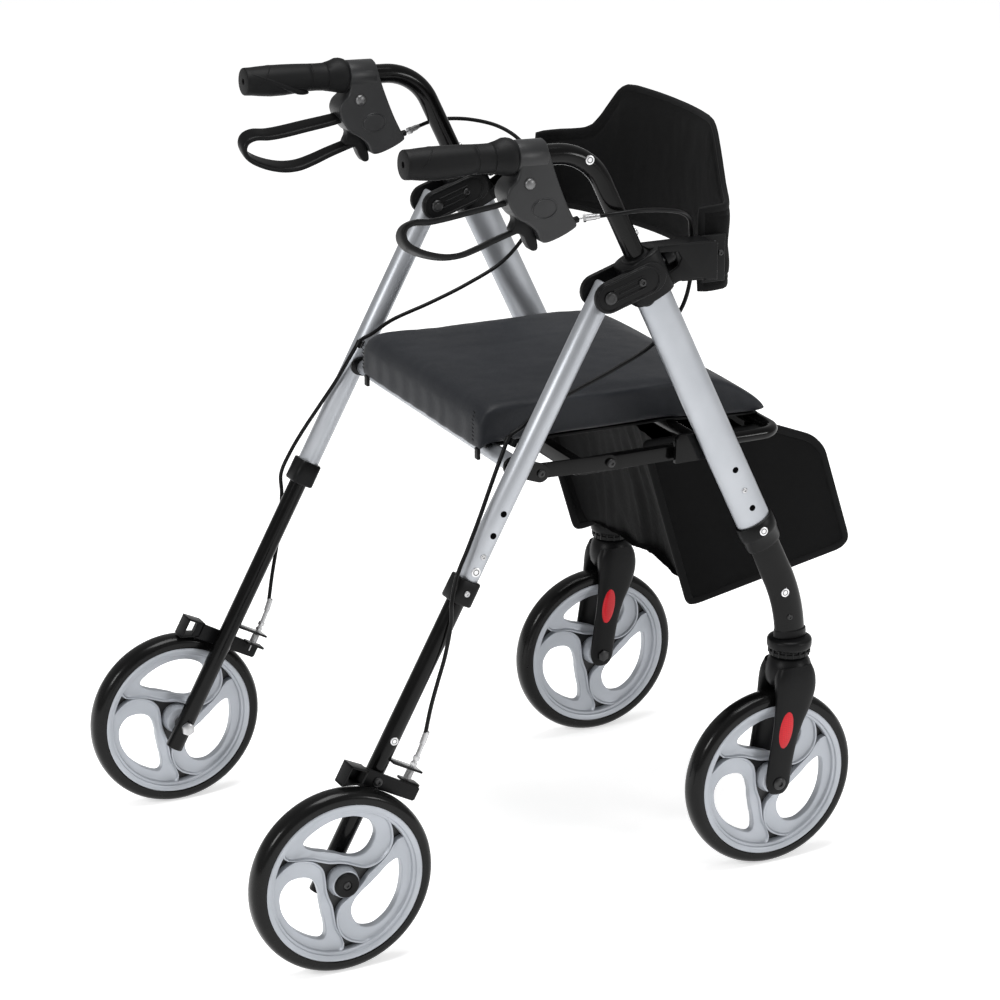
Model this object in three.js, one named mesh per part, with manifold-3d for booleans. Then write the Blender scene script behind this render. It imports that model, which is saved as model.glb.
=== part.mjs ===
// A four-wheeled rollator walker: two side frames that fold about bolts under the handles, swivelling front
// wheels, fixed rear wheels with hand brakes, a padded lift-up seat, a bag under it and a backrest band.
// Millimetres. +X is the walker's right, +Y the way it travels, +Z up, and the floor is z = 0.
// Right-hand pieces are modelled and each is mirrored in X for the left.
import * as THREE from "three";
import { mergeVertices } from "three/addons/utils/BufferGeometryUtils.js";
import Module from "manifold-3d";

const wasm = await Module();
wasm.setup();

// Driving dimensions.
const sideX = 215; // the plane of each side frame
const centreY = 33.79; // added to every Y at the end, so that the walker's middle is at y = 0
const gap = 0.3; // left between pieces that touch

const wheel = { radius: 105, halfWidth: 14, rimRadius: 90.4, webHalf: 5, rimLip: 76, rimHalf: 12 };
const hub = { radius: 17, halfWidth: 16.5, bore: 5.3 };
const rearWheelAt = { x: 246, y: -327 };
const frontWheelAt = { x: sideX, y: 220 };
const casterY = 244; // the swivel's axis, a little ahead of the front wheel

const frontLean = THREE.MathUtils.degToRad(25.42); // front legs, leaning back going up
const rearLean = THREE.MathUtils.degToRad(28.55); // rear legs, leaning forward going up
const foldPivot = { y: 0, z: 706 };
const frontTop = { y: 45.5, z: 730 }; // the front leg's top end, on its axis

const frontTube = { major: 20.5, minor: 13.5, wall: 1.5, length: 346 };
const lowerLeg = { major: 18.5, minor: 11.2, bore: 7.6, bendRadius: 200, foot: 252.6 };
const rearTube = { radius: 12.5, wall: 1.5, above: 12, length: 350 };
const rearLower = { radius: 10.25, wall: 1.5, start: 270, axle: 684.4, end: 714 };
const handle = { radius: 11.1, wall: 1.6, bendRadius: 64, tilt: THREE.MathUtils.degToRad(2.55) };
const handleLevel = { y: -60, z: 864 }; // a point on the axis of the handle's level part
const gripFront = -106.5;
const gripBack = -228;

const frameFront = { y: 108, z: 505 }; // the seat frame's pivot on the front leg
const knee = { y: 22, z: 508 }; // the joint between the seat frame and the fold link
const linkRear = { x: 35.3, s: 202.8 }; // the fold link's pivot, in the rear leg's own frame
const seatHinge = { y: 235, z: 512 };
const brakePivot = 574.5; // how far down the rear leg the brake arm turns
const springAt = { x: 41, y: 4, top: 548, bottom: 563.2 };

const material = (color, roughness, metalness = 0) =>
  new THREE.MeshStandardMaterial({ color, roughness, metalness });
const looks = {
  silver: material(0xa8afba, 0.35, 0.8),
  rim: material(0xc8ccd6, 0.45, 0.2),
  glossBlack: material(0x0c0c0e, 0.15, 0.3),
  plastic: material(0x1b1c1f, 0.55),
  tyre: material(0x101012, 0.3),
  steel: material(0x9a9ca0, 0.35, 1),
  leatherette: material(0x454a55, 0.6),
  fabric: material(0x1e2024, 0.9),
};

const root = new THREE.Group();
root.position.y = centreY;

function add(name, look, geometry) {
  const mesh = new THREE.Mesh(geometry, looks[look]);
  mesh.name = name;
  root.add(mesh);
}

function addPair(name, look, geometry) {
  add(`${name}_R`, look, geometry);
  const left = new THREE.Mesh(geometry, looks[look]);
  left.name = `${name}_L`;
  left.scale.x = -1;
  root.add(left);
}

// Solids: joined and cut shapes, made from closed three.js geometry.
function solid(geometry) {
  const bare = geometry.clone();
  bare.deleteAttribute("normal");
  bare.deleteAttribute("uv");
  const merged = mergeVertices(bare, 1e-3);
  return new wasm.Manifold(
    new wasm.Mesh({
      numProp: 3,
      vertProperties: merged.attributes.position.array,
      triVerts: new Uint32Array(merged.index.array),
    }),
  );
}

function geometryOf(shape) {
  const mesh = shape.getMesh();
  const geometry = new THREE.BufferGeometry();
  geometry.setAttribute("position", new THREE.BufferAttribute(mesh.vertProperties, 3));
  geometry.setIndex(new THREE.BufferAttribute(mesh.triVerts, 1));
  geometry.computeVertexNormals();
  return geometry;
}

const join = (...geometries) => geometries.map(solid).reduce((a, b) => a.add(b));
const cut = (shape, ...geometries) => geometries.map(solid).reduce((a, b) => a.subtract(b), shape);

// Sections and outlines.
function outline(points) {
  return new THREE.Shape(points.map(([a, b]) => new THREE.Vector2(a, b)));
}

function ovalPoints(halfA, halfB, sides) {
  return Array.from({ length: sides }, (_, i) => {
    const angle = ((i + 0.5) / sides) * 2 * Math.PI;
    return [halfA * Math.cos(angle), halfB * Math.sin(angle)];
  });
}

function ovalSection(halfA, halfB, sides, wall = 0) {
  const shape = outline(ovalPoints(halfA, halfB, sides));
  if (wall) shape.holes.push(new THREE.Path(outline(ovalPoints(halfA - wall, halfB - wall, sides)).getPoints()));
  return shape;
}

// A capsule outline from one point to another, with round ends.
function capsule(a, b, radius, steps = 8) {
  const along = Math.atan2(b[1] - a[1], b[0] - a[0]);
  const end = (centre, from) =>
    Array.from({ length: steps + 1 }, (_, i) => {
      const angle = along + from + (i / steps) * Math.PI;
      return [centre[0] + radius * Math.cos(angle), centre[1] + radius * Math.sin(angle)];
    });
  return outline([...end(b, -Math.PI / 2), ...end(a, Math.PI / 2)]);
}

function prism(shape, depth) {
  return new THREE.ExtrudeGeometry(shape, { depth, bevelEnabled: false, curveSegments: 8 });
}

// An outline given as (y, z) pairs, made solid between two values of x.
function sidePlate(shape, fromX, toX) {
  const turn = new THREE.Matrix4().makeBasis(
    new THREE.Vector3(0, 1, 0),
    new THREE.Vector3(0, 0, 1),
    new THREE.Vector3(1, 0, 0),
  );
  return prism(shape, toX - fromX).applyMatrix4(turn).translate(fromX, 0, 0);
}

function block(low, high) {
  const size = high.map((value, i) => value - low[i]);
  const middle = high.map((value, i) => (value + low[i]) / 2);
  return new THREE.BoxGeometry(...size).translate(...middle);
}

// A round piece on a line along X through (y, z), from a profile of (radius, x) pairs.
function turned(profile, y, z, sides = 16) {
  const points = profile.map(([radius, x]) => new THREE.Vector2(radius, x));
  return new THREE.LatheGeometry(points, sides)
    .rotateZ(-Math.PI / 2)
    .rotateX(Math.PI / sides)
    .translate(0, y, z);
}

function rodAlongX(radius, fromX, toX, y, z, sides = 16) {
  return turned([[0, fromX], [radius, fromX], [radius, toX], [0, toX]], y, z, sides);
}

// Leg frames: local z runs down the leg from its origin, local x across it to the front, local y towards +X.
const down = {
  front: new THREE.Vector3(0, Math.sin(frontLean), -Math.cos(frontLean)),
  rear: new THREE.Vector3(0, -Math.sin(rearLean), -Math.cos(rearLean)),
};

function legFrame(direction, origin) {
  const across = new THREE.Vector3(0, -direction.z, direction.y);
  return new THREE.Matrix4()
    .makeBasis(across, new THREE.Vector3(1, 0, 0), direction)
    .setPosition(sideX, origin.y, origin.z);
}

const frontFrame = legFrame(down.front, frontTop);
const rearFrame = legFrame(down.rear, foldPivot);
const onFront = (geometry) => geometry.applyMatrix4(frontFrame);
const onRear = (geometry) => geometry.applyMatrix4(rearFrame);
const legPrism = (shape, from, to) => prism(shape, to - from).translate(0, 0, from);
const rearPoint = (x, y, s) => new THREE.Vector3(x, y, s).applyMatrix4(rearFrame);

// A path straight from each key point to the next, so that a swept piece has one ring at each of them.
class KeyPath extends THREE.Curve {
  constructor(points) {
    super();
    this.points = points;
  }
  getPoint(t, target = new THREE.Vector3()) {
    const place = Math.min(t, 1) * (this.points.length - 1);
    const index = Math.min(Math.floor(place), this.points.length - 2);
    return target.lerpVectors(this.points[index], this.points[index + 1], place - index);
  }
  getPointAt(u, target) {
    return this.getPoint(u, target);
  }
  getTangentAt(u, target = new THREE.Vector3()) {
    const index = Math.round(u * (this.points.length - 1));
    target.set(0, 0, 0);
    for (const start of [index - 1, index]) {
      if (start < 0 || start > this.points.length - 2) continue;
      target.add(this.points[start + 1].clone().sub(this.points[start]).normalize());
    }
    return target.normalize();
  }
}

function sweep(shape, points) {
  return new THREE.ExtrudeGeometry(shape, {
    steps: points.length - 1,
    extrudePath: new KeyPath(points),
  });
}

// Points on an arc that rounds the corner between two straight stretches.
function roundCorner(before, corner, after, radius, steps) {
  const back = before.clone().sub(corner).normalize();
  const ahead = after.clone().sub(corner).normalize();
  const half = back.angleTo(ahead) / 2;
  const middle = back.clone().add(ahead).normalize().multiplyScalar(radius / Math.sin(half)).add(corner);
  const start = corner.clone().addScaledVector(back, radius / Math.tan(half));
  const end = corner.clone().addScaledVector(ahead, radius / Math.tan(half));
  const turnAxis = start.clone().sub(middle).cross(end.clone().sub(middle)).normalize();
  return Array.from({ length: steps + 1 }, (_, i) =>
    start.clone().sub(middle).applyAxisAngle(turnAxis, ((Math.PI - 2 * half) * i) / steps).add(middle),
  );
}

// Wheels: a tyre on a moulded rim with three comma-shaped openings.
const openingShape = [ // degrees from the opening's middle, radius
  [0, 29.2], [-13, 28.2], [-28, 29.6], [-40, 35.8], [-43, 44.8], [-41, 54.2], [-37, 62.7], [-30, 69], [-22, 72.6],
  [-10, 73.9], [3, 73.2], [15, 72], [28, 70.6], [40, 69.6], [44, 66], [43.5, 60], [39, 51], [31, 43.4], [22, 37.2],
  [11, 32.6],
];

function wheelOpening(index) {
  const first = 87 + 120 * index;
  return outline(openingShape.map(([degrees, radius]) => {
    const angle = THREE.MathUtils.degToRad(first + degrees);
    return [radius * Math.cos(angle), radius * Math.sin(angle)];
  }));
}

function rimSolid(at) {
  const { rimRadius, rimLip, rimHalf, webHalf } = wheel;
  const ring = [[rimLip, -rimHalf], [rimRadius - gap, -rimHalf], [rimRadius - gap, rimHalf], [rimLip, rimHalf]];
  const ringShape = turned([...ring, ring[0]], 0, 0, 30);
  const web = sidePlate(outline(ovalPoints(rimLip + 4, rimLip + 4, 30)), -webHalf, webHalf);
  const openings = [0, 1, 2].map((i) => sidePlate(wheelOpening(i), -webHalf - 1, webHalf + 1));
  const boss = rodAlongX(hub.radius, -hub.halfWidth, hub.halfWidth, 0, 0, 24);
  const bore = rodAlongX(hub.bore, -hub.halfWidth - 1, hub.halfWidth + 1, 0, 0);
  const webCut = cut(solid(web), ...openings);
  const whole = cut(webCut.add(solid(ringShape)).add(solid(boss)), bore);
  return geometryOf(whole).translate(at.x, at.y, wheel.radius);
}

function tyreSolid(at) {
  const { radius, halfWidth, rimRadius } = wheel;
  const sides = 30;
  const tread = radius / Math.cos(Math.PI / sides); // so that the tread's flats reach the wheel's radius
  const half = [[rimRadius, 12], [93.6, halfWidth], [99, 13], [103.4, 9.6], [tread, 4.5]];
  const mirrored = half.map(([r, x]) => [r, -x]);
  return turned([...mirrored, ...half.reverse(), mirrored[0]], at.y, radius, sides)
    .translate(at.x, 0, 0);
}

function makeWheels() {
  for (const [name, at] of [["front", frontWheelAt], ["rear", rearWheelAt]]) {
    addPair(`${name}_rim`, "rim", rimSolid(at));
    addPair(`${name}_tyre`, "tyre", tyreSolid(at));
  }
  const shaft = 5;
  addPair("rear_axle", "steel", turned([
    [0, 199], [8, 199], [8, 204.4], [shaft, 204.4], [shaft, 225.8], [8, 225.8], [8, 229.2],
    [shaft, 229.2], [shaft, 262.9], [13, 262.9], [11, 266.5], [0, 266.5],
  ], rearWheelAt.y, wheel.radius));
  const cheek = 26.8;
  addPair("front_axle", "steel", turned([
    [0, sideX - cheek - 3], [7.5, sideX - cheek - 3], [7.5, sideX - cheek], [4, sideX - cheek],
    [4, sideX + cheek], [7.5, sideX + cheek], [7.5, sideX + cheek + 3], [0, sideX + cheek + 3],
  ], frontWheelAt.y, wheel.radius));
}

// Caster forks: a round crown on a stem, with an arm down each side of the wheel.
function makeFork() {
  const crownProfile = [
    [0, 214], [20, 214], [26, 221], [27.5, 232], [25, 244], [22, 251.4], [6.5, 251.4], [6.5, 276], [0, 276],
  ].map(([radius, z]) => new THREE.Vector2(radius, z));
  const crown = new THREE.LatheGeometry(crownProfile, 24).rotateX(Math.PI / 2).translate(sideX, casterY, 0);
  const axle = frontWheelAt.y;
  const foot = Array.from({ length: 9 }, (_, i) => {
    const angle = (-i / 8) * Math.PI;
    return [axle + 15 * Math.cos(angle), wheel.radius + 15 * Math.sin(angle)];
  });
  const arm = outline([
    [222, 240], [264, 240], [269, 226], [262, 205], [251, 180], [243, 155], [238, 128],
    ...foot, [206, 130], [209, 155], [213, 182], [216, 205],
  ].reverse());
  const hole = rodAlongX(4.3, sideX - 30, sideX + 30, axle, wheel.radius);
  const arms = [[-26.5, -17.8], [17.8, 26.5]].map(([a, b]) => sidePlate(arm, sideX + a, sideX + b));
  addPair("caster_fork", "plastic", geometryOf(cut(join(crown, ...arms), hole)));
}

// Front legs: an oval tube, a plastic collar at its foot and a curved lower leg down to the caster's cup.
function lowerLegPoints() {
  const bendTop = { z: 352 };
  bendTop.y = frontTop.y + (frontTop.z - bendTop.z) * Math.tan(frontLean);
  const start = new THREE.Vector3(0, 0, frontTube.length - 60).applyMatrix4(frontFrame);
  const arc = Array.from({ length: 7 }, (_, i) => {
    const lean = frontLean * (1 - i / 6);
    return new THREE.Vector3(
      sideX,
      casterY - lowerLeg.bendRadius * (1 - Math.cos(lean)),
      bendTop.z - lowerLeg.bendRadius * (Math.sin(frontLean) - Math.sin(lean)),
    );
  });
  return [start, ...arc, new THREE.Vector3(sideX, casterY, lowerLeg.foot)];
}

function makeFrontLegs() {
  const { major, minor, wall, length } = frontTube;
  const tube = onFront(legPrism(ovalSection(major, minor, 28, wall), 0, length));
  const plateEdge = outline([[98, 495], [143, 495], [141, 530], [104, 530], [98, 524]]);
  const plate = sidePlate(plateEdge, 196.5, 202.8);
  const pin = rodAlongX(4, 177, 197, frameFront.y, frameFront.z);
  const crossHole = (radius, s, from, to) =>
    onFront(new THREE.CylinderGeometry(radius, radius, to - from, 12).translate(0, (from + to) / 2, s));
  const lockHole = onFront(
    new THREE.CylinderGeometry(4.6, 4.6, 30, 12).rotateZ(Math.PI / 2).translate(20, 0, 6.6),
  );
  const holes = [288, 322].map((s) => crossHole(3.6, s, 8, 16));
  addPair("front_leg", "silver", geometryOf(cut(join(tube, plate, pin), lockHole, ...holes)));

  const collarOuter = onFront(legPrism(ovalSection(major + 3.2, minor + 3, 28), length - 13, length + 21));
  const collarUpper = onFront(
    legPrism(ovalSection(major + gap, minor + gap, 28), length - 14, length + gap),
  );
  const collarLower = onFront(
    legPrism(ovalSection(lowerLeg.major + 0.5, lowerLeg.minor + 0.5, 28), length - 5, length + 24),
  );
  addPair("front_leg_collar", "plastic", geometryOf(cut(solid(collarOuter), collarUpper, collarLower)));

  const section = ovalSection(lowerLeg.minor, lowerLeg.major, 20);
  section.holes.push(new THREE.Path(outline(ovalPoints(lowerLeg.bore, lowerLeg.bore, 12)).getPoints()));
  addPair("front_lower_leg", "glossBlack", sweep(section, lowerLegPoints()));

  const cupProfile = [[0, 252], [23.5, 252], [23.5, 262], [25.5, 264], [25.5, 271], [24, 273], [0, 273]]
    .map(([radius, z]) => new THREE.Vector2(radius, z));
  const cup = new THREE.LatheGeometry(cupProfile, 24).rotateX(Math.PI / 2).translate(sideX, casterY, 0);
  const socket = prism(ovalSection(lowerLeg.minor + 0.6, lowerLeg.major + 1, 20), 30)
    .translate(sideX, casterY, 250);
  addPair("caster_cup", "plastic", geometryOf(cut(solid(cup), socket)));

  const tubeEnd = 196.2;
  add("front_cross_tube", "silver", rodAlongX(7.5, -tubeEnd, tubeEnd, 124, 520));
}

// Rear legs: a round tube, a square collar and a thinner lower tube that carries the wheel and the brake.
function makeRearLegs() {
  const { radius, wall, above, length } = rearTube;
  const tube = onRear(legPrism(ovalSection(radius, radius, 20, wall), -above, length));
  const boltHole = rodAlongX(4.4, sideX - 20, sideX + 20, foldPivot.y, foldPivot.z);
  const lugShape = capsule([0, 208], [linkRear.x, linkRear.s], 10.5);
  const lug = onRear(
    prism(lugShape, 4.7).applyMatrix4(
      new THREE.Matrix4().makeBasis(
        new THREE.Vector3(1, 0, 0),
        new THREE.Vector3(0, 0, 1),
        new THREE.Vector3(0, -1, 0),
      ),
    ).translate(0, -11.8, 0),
  );
  const linkPivot = rearPoint(linkRear.x, 0, linkRear.s);
  const linkPin = rodAlongX(4, 190.5, 200, linkPivot.y, linkPivot.z);
  const holes = [286, 312].map((s) =>
    onRear(new THREE.CylinderGeometry(3.4, 3.4, 8, 12).translate(0, 12, s)),
  );
  addPair("rear_leg", "silver", geometryOf(cut(join(tube, lug, linkPin), boltHole, ...holes)));

  const collar = onRear(block([-15, -14.5, length - 14], [15, 14.5, length + 14]));
  const collarUpper = onRear(legPrism(ovalSection(radius + gap, radius + gap, 20), length - 15, length + gap));
  const lowerHole = rearLower.radius + 0.4;
  const collarLower = onRear(legPrism(ovalSection(lowerHole, lowerHole, 20), length - 5, length + 15));
  addPair("rear_leg_collar", "plastic", geometryOf(cut(solid(collar), collarUpper, collarLower)));

  const lower = onRear(
    legPrism(ovalSection(rearLower.radius, rearLower.radius, 20, rearLower.wall), rearLower.start, rearLower.end),
  );
  const tab = onRear(block([9.4, -5, springAt.top - 3], [54, 13, springAt.top]));
  const axleHole = rodAlongX(5.3, sideX - 15, sideX + 15, rearWheelAt.y, wheel.radius);
  addPair("rear_lower_tube", "glossBlack", geometryOf(cut(join(lower, tab), axleHole)));

  add("rear_cross_tube", "silver", rodAlongX(9.5, -198.2, 198.2, -94, 522));
}

// Brakes at the wheels: an arm with a shoe block behind it, turning on the lower tube, and its return spring.
function makeWheelBrakes() {
  const across = new THREE.Matrix4().makeBasis(
    new THREE.Vector3(1, 0, 0),
    new THREE.Vector3(0, 0, -1),
    new THREE.Vector3(0, 1, 0),
  );
  const onArm = (points, from, to) =>
    onRear(prism(outline(points.map(([x, s]) => [x, -s])), to - from).applyMatrix4(across).translate(0, from, 0));
  const top = brakePivot - 11;
  const foot = brakePivot + 11;
  const plate = onArm([[-36, foot - 4], [52, foot], [52, top], [-36, top]], 11.2, 15.7);
  const shoe = onArm([[-33, 580.2], [-33, top], [-58, top + 2], [-58, 591.5]], 11.2, 44);
  const flange = onRear(block([30, -3, top], [52, 12, top + 3.2]));
  addPair("brake_arm", "plastic", geometryOf(join(plate, shoe, flange)));

  const { x, y, bottom } = springAt;
  const turns = 4;
  const stepsPerTurn = 8;
  const wire = 0.7;
  const coil = Array.from({ length: turns * stepsPerTurn + 1 }, (_, i) => {
    const angle = (i / stepsPerTurn) * 2 * Math.PI;
    const low = springAt.top + wire + gap;
    const high = bottom - wire - gap;
    const s = low + ((high - low) * i) / (turns * stepsPerTurn);
    return rearPoint(x + 3.6 * Math.cos(angle), y + 3.6 * Math.sin(angle), s);
  });
  addPair("brake_spring", "steel", sweep(ovalSection(wire, wire, 5), coil));
}

// Top brackets: a clevis round the rear leg's top and a sleeve round the front leg's.
function makeTopBrackets() {
  const sleeve = onFront(legPrism(ovalSection(25, 18, 28), -14, 36));
  const ears = [[195.2, 201.7], [228.3, 234.8]].map(([a, b]) =>
    sidePlate(capsule([foldPivot.y, foldPivot.z], [50, 722], 17.5), a, b),
  );
  const legRoom = onFront(legPrism(ovalSection(frontTube.major + gap, frontTube.minor + gap, 28), -gap, 60));
  const tubeRoom = onFront(legPrism(ovalSection(handle.radius + 0.5, handle.radius + 0.5, 20), -60, 5));
  const rearRoom = block([sideX - 13, -60, 640], [sideX + 13, 24, 760]);
  const boltHole = rodAlongX(4.4, sideX - 25, sideX + 25, foldPivot.y, foldPivot.z);
  const lockHole = onFront(
    new THREE.CylinderGeometry(4.6, 4.6, 30, 12).rotateZ(Math.PI / 2).translate(20, 0, 6.6),
  );
  const body = cut(join(sleeve, ...ears), legRoom, tubeRoom, rearRoom, boltHole, lockHole);
  addPair("top_bracket", "plastic", geometryOf(body));

  addPair("fold_bolt", "steel", turned([
    [0, 191], [7.5, 191], [7.5, 194.9], [4, 194.9], [4, 235.1], [7.5, 235.1], [7.5, 238.5], [0, 238.5],
  ], foldPivot.y, foldPivot.z));

  const knob = [[0, 11.7], [4, 11.7], [4, 27], [7, 27], [9, 29], [9, 39], [7, 41], [0, 41]]
    .map(([radius, x]) => new THREE.Vector2(radius, x));
  const knobSolid = new THREE.LatheGeometry(knob, 16).rotateZ(-Math.PI / 2).translate(0, 0, 6.6);
  addPair("height_lock", "plastic", onFront(knobSolid));
}

// Backrest: an arm on each bracket, and a padded band bowed forward between their end plates.
function makeBackrest() {
  const arm = outline([[75.9, 725.2], [84.3, 708.3], [112, 705], [136, 706], [136, 749], [112, 749], [90.5, 731]]);
  const armSolid = join(
    sidePlate(arm, 207, 223),
    block([199.5, 122, 706], [223, 136, 749]),
    block([199.5, 128, 697], [204, 157, 752]),
  );
  addPair("backrest_arm", "plastic", geometryOf(armSolid));

  const half = [[194, 134], [194, 150], [186, 166], [150, 183], [100, 197], [50, 206], [0, 209]];
  const mirrored = half.slice(0, -1).reverse().map(([x, y]) => [-x, y]);
  const bow = new THREE.CatmullRomCurve3(
    [...half, ...mirrored].map(([x, y]) => new THREE.Vector3(x, y, 0)),
  );
  const tops = [[0, 846], [98, 846], [114, 838], [154, 787], [190, 777], [210, 774]];
  const topAt = (x) => {
    const i = Math.max(1, tops.findIndex(([limit]) => limit >= Math.abs(x)));
    const [[x0, z0], [x1, z1]] = [tops[i - 1], tops[i]];
    return z0 + ((z1 - z0) * (Math.abs(x) - x0)) / (x1 - x0);
  };
  const low = 690;
  const thickness = 10;
  const columns = 32;
  const band = new THREE.BoxGeometry(1, thickness, 1, columns, 1, 2);
  const place = band.getAttribute("position");
  for (let i = 0; i < place.count; i++) {
    const t = place.getX(i) + 0.5;
    const point = bow.getPointAt(t);
    const along = bow.getTangentAt(t);
    const offset = place.getY(i);
    const z = low + (place.getZ(i) + 0.5) * (topAt(point.x) - low);
    place.setXYZ(i, point.x - along.y * offset, point.y + along.x * offset, z);
  }
  const inside = solid(band).volume() < 0;
  if (inside) band.scale(-1, 1, 1);
  add("backrest", "fabric", band);
}

// Handles: a bent tube in each front leg, with a grip, a brake housing and a looped lever.
function handlePoints() {
  const level = (y) => handleLevel.z + (handleLevel.y - y) * Math.tan(handle.tilt);
  const cornerY =
    (frontTop.y + (frontTop.z - handleLevel.z - handleLevel.y * Math.tan(handle.tilt)) * Math.tan(frontLean)) /
    (1 - Math.tan(handle.tilt) * Math.tan(frontLean));
  const corner = new THREE.Vector3(sideX, cornerY, level(cornerY));
  const back = new THREE.Vector3(sideX, gripBack + 5, level(gripBack + 5));
  const foot = new THREE.Vector3(0, 0, 150).applyMatrix4(frontFrame);
  return [foot, ...roundCorner(foot, corner, back, handle.bendRadius, 7), back];
}

// A round piece on the level part of the handle, from a profile of (radius, y) pairs.
function onHandle(profile, sides) {
  const points = profile.map(([radius, y]) => new THREE.Vector2(radius, y - handleLevel.y));
  return new THREE.LatheGeometry(points, sides)
    .rotateX(-handle.tilt)
    .translate(sideX, handleLevel.y, handleLevel.z);
}

const leverPivot = { y: -92, z: 838 };

function makeHandles() {
  const section = ovalSection(handle.radius, handle.radius, 14, handle.wall);
  addPair("handle_tube", "glossBlack", sweep(section, handlePoints()));

  const gripShape = onHandle([
    [0, gripBack], [14, gripBack], [16.5, gripBack + 3], [17.3, -190], [16.3, -140], [18.6, -114],
    [18.6, gripFront - gap], [11.6, gripFront - gap], [11.6, gripBack + 4.6], [0, gripBack + 4.6],
  ], 20);
  addPair("grip", "plastic", gripShape);

  const housingEdge = outline([
    [-105, 884], [-71, 882], [-67, 864], [-62, 844], [-52, 818], [-41, 796], [-37, 788], [-54, 779],
    [-75, 773], [-82, 778], [-85, 789], [-95, 797], [-106, 802], [-116, 816], [-120, 829],
    [-116, 840], [-106, 848],
  ].reverse());
  const housing = sidePlate(housingEdge, 198, 232);
  const tubeRoom = onHandle([[0, -140], [11.5, -140], [11.5, -40], [0, -40]], 20);
  const slot = block([206.5, -130, 760], [223.5, -74, 851]);
  const pin = rodAlongX(3.5, 205, 225, leverPivot.y, leverPivot.z, 12);
  addPair("brake_housing", "plastic", geometryOf(cut(solid(housing), tubeRoom, slot).add(solid(pin))));

  const lever = outline([
    [-84, 845], [-100, 845], [-109, 828], [-117, 821], [-157, 815.5], [-200, 810.5], [-222, 813], [-233, 808],
    [-236, 797], [-230, 785], [-208, 772], [-184, 765.5], [-160, 767], [-136, 775], [-108, 782.5],
    [-96, 783], [-91, 772], [-85, 765], [-79, 768], [-83, 786], [-80, 800],
  ]);
  const fingerGap = outline([
    [-113, 814], [-157, 810], [-200, 805.5], [-220, 807], [-227, 803], [-229, 796], [-224, 788.5], [-206, 777.5],
    [-184, 771], [-160, 772.5], [-136, 780.5], [-111, 788.5], [-106, 798],
  ]);
  lever.holes.push(new THREE.Path(fingerGap.getPoints()));
  const pinRoom = rodAlongX(3.9, 205, 225, leverPivot.y, leverPivot.z, 12);
  addPair("brake_lever", "plastic", geometryOf(cut(solid(sidePlate(lever, 207.2, 222.8)), pinRoom)));
}

// Brake cables: from the housing, out over the tube, down inside the frame and along the rear leg to the brake.
function makeCables() {
  const upper = [
    [220, -33, 792], [226, -18, 793.5], [233, 2, 796], [236, 30, 797.5], [232, 62, 794], [222, 90, 786],
    [207, 109, 773], [193, 119, 755], [188, 123, 730], [186, 123, 698], [185, 112, 665], [185, 80, 632],
    [185, 33, 610], [186, -15, 593], [190, -60, 578], [194, -85, 563],
  ].map((point) => new THREE.Vector3(...point));
  const lower = [
    [-16, -19, 180], [-17, -15.5, 200], [-17, -9, 235], [-18, 0, 270], [-19.5, 8, 305], [-20, 13, 336],
    [-15.5, 19.5, 364], [-4, 18, 386], [9, 13.5, 420], [17, 10, 450], [26, 7, 480], [36, 5, 510], [41, 4, 528],
  ].map((point) => rearPoint(...point));
  const route = new THREE.CatmullRomCurve3([...upper, ...lower]);
  const cable = new THREE.ExtrudeGeometry(ovalSection(2.2, 2.2, 8), { steps: 54, extrudePath: route });
  const { x, y, top } = springAt;
  const adjuster = onRear(
    new THREE.CylinderGeometry(4, 4, 22, 12).rotateX(Math.PI / 2).translate(x, y, top - 3 - gap - 11),
  );
  addPair("brake_cable", "plastic", geometryOf(join(cable, adjuster)));
}

// The fold under the seat: a U-shaped seat frame on the front legs, and a link from each rear leg to its knee.
function makeFold() {
  const half = 8;
  const arm = capsule([frameFront.y, frameFront.z], [-10, frameFront.z], half);
  const arms = [[180, 192], [-192, -180]].map(([a, b]) => sidePlate(arm, a, b));
  const bar = block([-186, -18, frameFront.z - half], [186, -6, frameFront.z + half]);
  const pinRoom = rodAlongX(4.4, -195, 195, frameFront.y, frameFront.z);
  add("seat_frame", "glossBlack", geometryOf(cut(join(...arms, bar), pinRoom)));

  const rear = rearPoint(linkRear.x, 0, linkRear.s);
  const strip = sidePlate(capsule([knee.y, knee.z], [rear.y, rear.z], 9), 193.2, 196.2);
  const rivet = rodAlongX(5.5, 195, 199, knee.y, knee.z, 12);
  const hole = rodAlongX(4.4, 190, 200, rear.y, rear.z);
  addPair("fold_link", "glossBlack", geometryOf(cut(join(strip, rivet), hole)));
}

// The seat: a padded board with deep edges at its back and sides and a thin drooping front edge.
function makeSeat() {
  const edge = outline([
    [-107, 532.6], [124, 530], [205, 522], [247, 519.6], [249, 524], [225, 543], [196, 562], [160, 573],
    [90, 577], [-100, 579], [-114, 572], [-119, 560], [-119, 530], [-113, 527],
  ]);
  const halfWidth = 158;
  const across = outline([
    [-halfWidth, 515], [halfWidth, 515], [halfWidth, 566], [halfWidth - 4, 574], [halfWidth - 13, 580],
    [13 - halfWidth, 580], [4 - halfWidth, 574], [-halfWidth, 566],
  ]);
  const lengthways = sidePlate(edge, -halfWidth - 5, halfWidth + 5);
  const crossways = prism(across, 400).rotateX(Math.PI / 2).translate(0, 270, 0);
  add("seat", "leatherette", geometryOf(solid(lengthways).intersect(solid(crossways))));
}

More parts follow.
